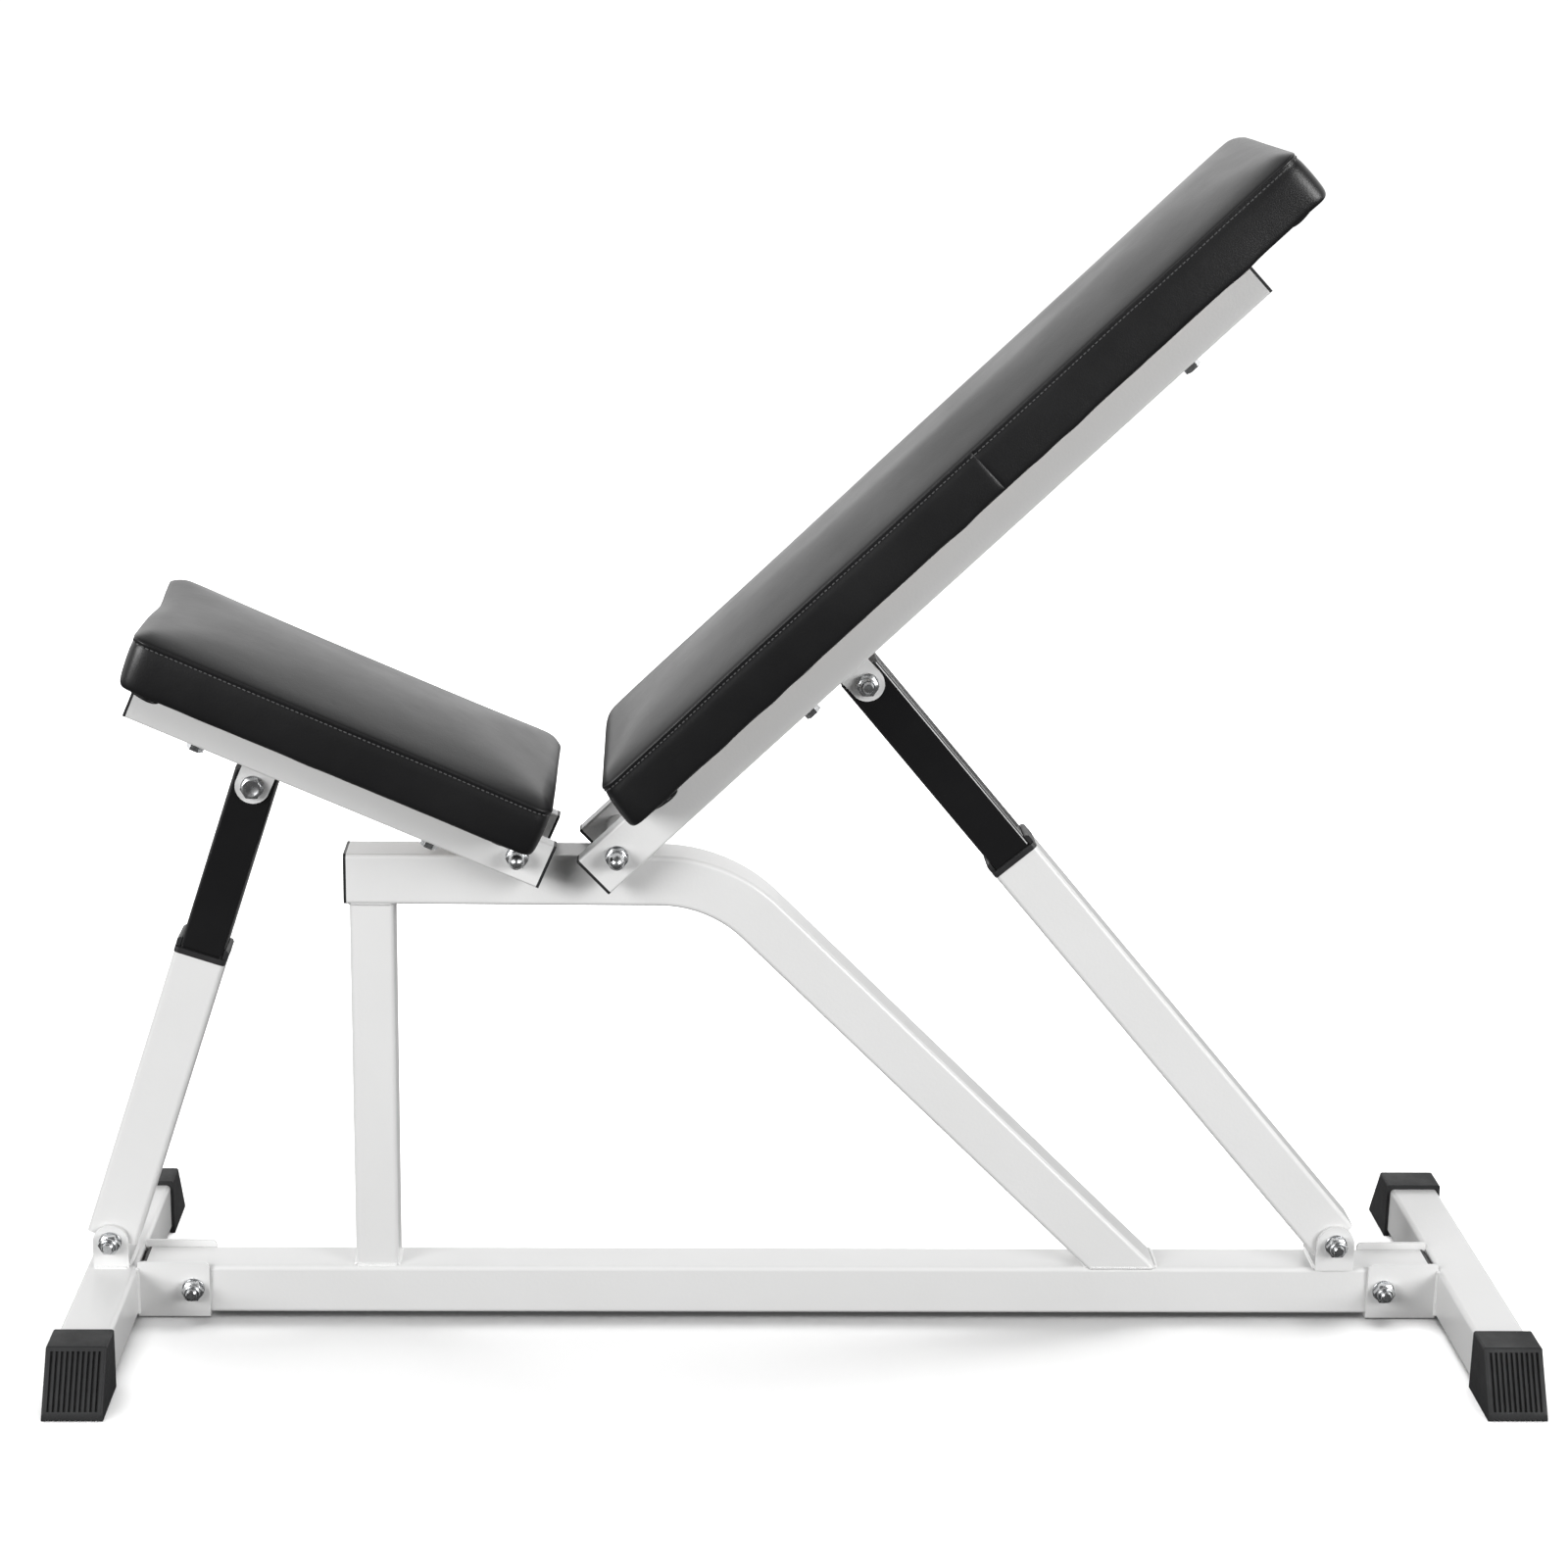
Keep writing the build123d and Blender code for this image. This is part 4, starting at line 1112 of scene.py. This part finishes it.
def sink_valley(shape, edges, depth, width):
    """Bevels a chain of edges into a strip and pushes its middle line in along the surface normal."""
    shape.normal_update()
    strip = bmesh.ops.bevel(
        shape, geom=edges, offset=width, offset_type="OFFSET", segments=2, profile=0.5,
        affect="EDGES", material=-1, clamp_overlap=True,
    )
    faces = set(strip["faces"])
    shape.normal_update()
    middle = [v for v in strip["verts"] if all(face in faces for face in v.link_faces)]
    for vert in middle:
        vert.co -= vert.normal * depth
    return middle


print("the seam's valley is", VALLEY * 2000, "mm wide")


# %% [markdown]
# The back pad's upright seam starts one row below the long seam, so that the two valleys don't meet, and
# runs down to the roll.


# %% Sink the seams
def edges_within(shape, numbers):
    """The edges whose both ends are among the numbered points."""
    chosen = {shape.verts[number] for number in numbers}
    return [e for e in shape.edges if e.verts[0] in chosen and e.verts[1] in chosen]


def upright_edges(shape, marks, middle_x):
    """The chain of edges down the left side of the band, at the join."""
    chain = []
    for numbers in (marks["seam"], *marks["rows"][:FREE_ROWS + 1]):
        side = [shape.verts[n] for n in numbers if shape.verts[n].co.y < 0]
        chain.append(min(side, key=lambda v: abs(v.co.x + middle_x - JOIN_AT)))
    return [e for upper, lower in zip(chain[1:], chain[2:]) for e in upper.link_edges if lower in e.verts]


stitch_points = {}
for name, (shape, marks) in covers.items():
    shape.verts.ensure_lookup_table()
    shape.normal_update()
    low, high = pad_boxes[name]
    row = [shape.verts[number] for number in marks["rows"][STITCH_ROW]]
    for vert in row:
        vert.co -= vert.normal * STITCH_PULL
    long, wide = high.x - low.x, high.y - low.y
    stitch_points[name] = sorted(
        (vert.co.copy() for vert in row), key=lambda co: atan2(co.y * long, co.x * wide)
    )
    seam_edges = edges_within(shape, marks["seam"])
    upright = upright_edges(shape, marks, (low.x + high.x) / 2) if name == "back" else []
    valley = sink_valley(shape, seam_edges, VALLEY_DEPTH, VALLEY)
    if upright:
        sink_valley(shape, upright, JOIN_DEPTH, JOIN)
    print(name, "pad: seam of", len(valley), "points")

# %% [markdown]
# The finished covers go to their places on the frame. Subdivision rounds the rows into smooth rolls, and
# each pad stands for the plain block in the model.

# %% Place the pads
pads = {}
for name, (shape, _) in covers.items():
    low, high = pad_boxes[name]
    board_low = flat_box(f"{name}_board", PLACES[name])[0]
    home = PLACES[name] @ Matrix.Translation(((low.x + high.x) / 2, 0, board_low.z))
    bmesh.ops.transform(shape, matrix=home, verts=shape.verts)
    pad = piece(f"{name}_cushion", shape, name, vinyl, smooth_below=0)
    smooth = pad.modifiers.new("smooth", "SUBSURF")
    smooth.levels = smooth.render_levels = 2
    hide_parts(f"{name}_pad")
    pads[name] = (pad, home)
    print(name, "cushion placed")

# %% [markdown]
# ## Folded corners
#
# At each corner, the spare vinyl of the hem is pleated and stapled flat under the board. The pleats show
# from low down as small dark lumps under the pad. Each is a rounded, flattened wedge: a ball, squashed,
# and pinched towards one end.

# %% Pleats under the corners
PLEAT = (0.014, 0.0070, 0.0026)  # half length, half width and half thickness
PLEAT_FROM_END = 0.024
PLEAT_TURN = radians(12)
LOOSE = (0.0016, 0.0125)  # how far a loose pleat hangs down, and how far in from the side it lies
TIGHT = (0.0004, 0.0160)

for name, (low, high) in pad_boxes.items():
    board_low = flat_box(f"{name}_board", PLACES[name])[0]
    shape = bmesh.new()
    for end in (-1, 1):
        for side in (-1, 1):
            corner = bmesh.ops.create_uvsphere(shape, u_segments=20, v_segments=10, radius=1.0)["verts"]
            for vert in corner:
                pinch = 1 - 0.35 * vert.co.x
                x, y, z = (share * half for share, half in zip(vert.co, PLEAT))
                vert.co = Vector((x, y * pinch, z * pinch))
            x = high.x - PLEAT_FROM_END if end > 0 else low.x + PLEAT_FROM_END
            # The pleats at the raised ends of the bench are pulled tighter.
            loose = (end > 0) == (name == "seat")
            drop, inset = LOOSE if loose else TIGHT
            spot = Matrix.Translation((x, side * (high.y - inset), board_low.z - drop))
            turn = Matrix.Rotation(-PLEAT_TURN * end * side, 4, "Z") @ Matrix.Diagonal((end, 1, 1, 1))
            bmesh.ops.transform(shape, matrix=PLACES[name] @ spot @ turn, verts=corner)
    bmesh.ops.recalc_face_normals(shape, faces=shape.faces)
    piece(f"{name}_pleats", shape, name, vinyl)
    print(name, "has four pleats")

# %% [markdown]
# ## Stitches
#
# The thread shows as short raised dashes, four millimetres from one needle hole to the next. Drawing them
# in the texture would leave the outline smooth, so each is a real, tiny stitch: a stretched ball, laid
# along the row and half sunk in the vinyl. A few dozen faces each is plenty.

# %% Lay the stitches along their row
STITCH_PITCH = 0.0042
STITCH_LONG = 0.0031
THREAD = 0.00055  # half the thread's thickness
SUNK = 0.35  # the stitch's axis lies this share of that above the vinyl


def along_ring(points, pitch):
    """Points and directions at an even pitch round a closed ring."""
    total = sum((b - a).length for a, b in zip(points, points[1:] + points[:1]))
    count = round(total / pitch)
    step, travelled, due = total / count, 0.0, 0.0
    for a, b in zip(points, points[1:] + points[:1]):
        run = (b - a).length
        while due < travelled + run and count:
            yield a.lerp(b, (due - travelled) / run), (b - a).normalized()
            due += step
            count -= 1
        travelled += run


def surface_of(thing):
    """A search tree of a piece as its modifiers leave it."""
    skin = thing.evaluated_get(bpy.context.evaluated_depsgraph_get()).to_mesh()
    points = [vert.co.copy() for vert in skin.vertices]
    return BVHTree.FromPolygons(points, [tuple(face.vertices) for face in skin.polygons])


dash = bmesh.new()
bmesh.ops.create_uvsphere(dash, u_segments=8, v_segments=5, radius=1.0)
bmesh.ops.rotate(dash, matrix=Matrix.Rotation(pi / 2, 3, "Y"), verts=dash.verts)
bmesh.ops.scale(dash, vec=(STITCH_LONG / 2, THREAD, THREAD), verts=dash.verts)
for name, (pad, home) in pads.items():
    skin = surface_of(pad)
    places = []
    for spot, way in along_ring(stitch_points[name], STITCH_PITCH):
        on_skin, normal, _, _ = skin.find_nearest(home @ spot)
        forward = (home.to_3x3() @ way).normalized()
        side = normal.cross(forward).normalized()
        turned = Matrix((forward, side, forward.cross(side))).transposed().to_4x4()
        places.append(Matrix.Translation(on_skin + normal * THREAD * SUNK) @ turned)
    piece(f"{name}_stitches", scatter(dash, places), name, thread)
    print(name, "has", len(places), "stitches")
dash.free()

# %% [markdown]
# ## Floor and light
#
# The setting is a plain pale floor under soft light. The bench is mostly white on white, so what gives it
# form is the light's falloff: bright above and behind, dimmer in front. The world does most of this, with
# a shade that changes from back to front. Two panels in front lift the tubes that face the viewer, and
# light linking makes them skip the floor. One overhead panel lights the floor alone. So the floor stays
# white, and the shadow close under the frame stays dark, without washing out the tops of the tubes.

# %% Floor
FLOOR_HALF = 8.0
IN_REFLECTIONS = 0.06  # the floor's shade as the bench's gloss sees it
AS_SEEN = 0.97

shape = bmesh.new()
bmesh.ops.create_grid(shape, x_segments=1, y_segments=1, size=FLOOR_HALF)
mesh = bpy.data.meshes.new("floor")
shape.to_mesh(mesh)
shape.free()
floor = bpy.data.objects.new("floor", mesh)
bpy.context.scene.collection.objects.link(floor)

pale, shader = finish("pale floor", (0.9, 0.9, 0.9), 0.9, Specular_IOR_Level=0.1)
tree = pale.node_tree
seen = tree.nodes.new("ShaderNodeLightPath")
shade = add(tree, "ShaderNodeMix", "darker in reflections")
shade.data_type = "RGBA"
shade.inputs["A"].default_value = (IN_REFLECTIONS, IN_REFLECTIONS, IN_REFLECTIONS, 1)
shade.inputs["B"].default_value = (AS_SEEN, AS_SEEN, AS_SEEN, 1)
join(seen, "Is Camera Ray", shade, "Factor")
join(shade, "Result", shader, "Base Color")
where = tree.nodes.new("ShaderNodeTexCoord")
away = add(tree, "ShaderNodeVectorMath", "distance")
away.operation = "LENGTH"
rise = add(
    tree, "ShaderNodeMapRange", "lighter away from the bench",
    From_Min=0.75, From_Max=2.2, To_Min=0.04, To_Max=0.75,
)
glow = add(tree, "ShaderNodeMath", "only as seen")
glow.operation = "MULTIPLY"
shader.inputs["Emission Strength"].default_value = 1.0
join(where, "Object", away, 0)
join(away, "Value", rise, "Value")
join(rise, "Result", glow, 0)
join(seen, "Is Camera Ray", glow, 1)
join(glow, "Value", shader, "Emission Color")
mesh.materials.append(pale)
print("floor laid")

# %% World
SKY_BACK = 1.4
SKY_FRONT = 0.13
SKY_TOP = 0.25  # share of that light straight above
SKY_SEEN = 1.1  # behind the bench, as the camera sees it

world = bpy.data.worlds.new("studio")
world.use_nodes = True
bpy.context.scene.world = world
tree = world.node_tree
sky = tree.nodes["Background"]
sky.inputs["Color"].default_value = (1, 1, 1, 1)
where = tree.nodes.new("ShaderNodeTexCoord")
split = tree.nodes.new("ShaderNodeSeparateXYZ")
fall = add(
    tree, "ShaderNodeMapRange", "front to back",
    From_Min=-0.7, From_Max=0.5, To_Min=SKY_FRONT, To_Max=SKY_BACK,
)
fall.interpolation_type = "SMOOTHSTEP"
seen = tree.nodes.new("ShaderNodeLightPath")
pick = add(tree, "ShaderNodeMix", "plain white behind")
pick.inputs["B"].default_value = SKY_SEEN
above = add(
    tree, "ShaderNodeMapRange", "dimmer overhead",
    From_Min=0.45, From_Max=0.9, To_Min=1.0, To_Max=SKY_TOP,
)
both = add(tree, "ShaderNodeMath", "sky")
both.operation = "MULTIPLY"
join(where, "Generated", split, "Vector")
join(split, "Y", fall, "Value")
join(split, "Z", above, "Value")
join(fall, "Result", both, 0)
join(above, "Result", both, 1)
join(both, "Value", pick, "A")
join(seen, "Is Camera Ray", pick, "Factor")
join(pick, "Result", sky, "Strength")
print("world shaded from back to front")


# %% Lamps
def lamp(name, at, size, watts, aim=(0, 0, 0.45)):
    """A soft panel of light, turned towards a point."""
    panel = bpy.data.lights.new(name, "AREA")
    panel.shape = "RECTANGLE"
    panel.size, panel.size_y = size
    panel.energy = watts
    made = bpy.data.objects.new(name, panel)
    made.location = at
    made.rotation_euler = (Vector(aim) - Vector(at)).to_track_quat("-Z", "Y").to_euler()
    bpy.context.scene.collection.objects.link(made)
    return made


def floor_group(name, state):
    """A light group that takes in the floor, or leaves it out."""
    made = bpy.data.collections.new(name)
    made.objects.link(floor)
    made.collection_objects[0].light_linking.link_state = state
    return made


bench_only = floor_group("all but the floor", "EXCLUDE")
floor_only = floor_group("the floor", "INCLUDE")


overhead = lamp("overhead", (0.0, 0.6, 2.7), (3.6, 2.0), 150)
overhead.light_linking.receiver_collection = floor_only
for name, x in (("left_fill", -2.9), ("right_fill", 2.9)):
    fill = lamp(name, (x, -2.9, 1.6), (2.2, 1.8), 130)
    fill.light_linking.receiver_collection = bench_only
bpy.context.scene.view_settings.view_transform = "Standard"
print("lights ready")
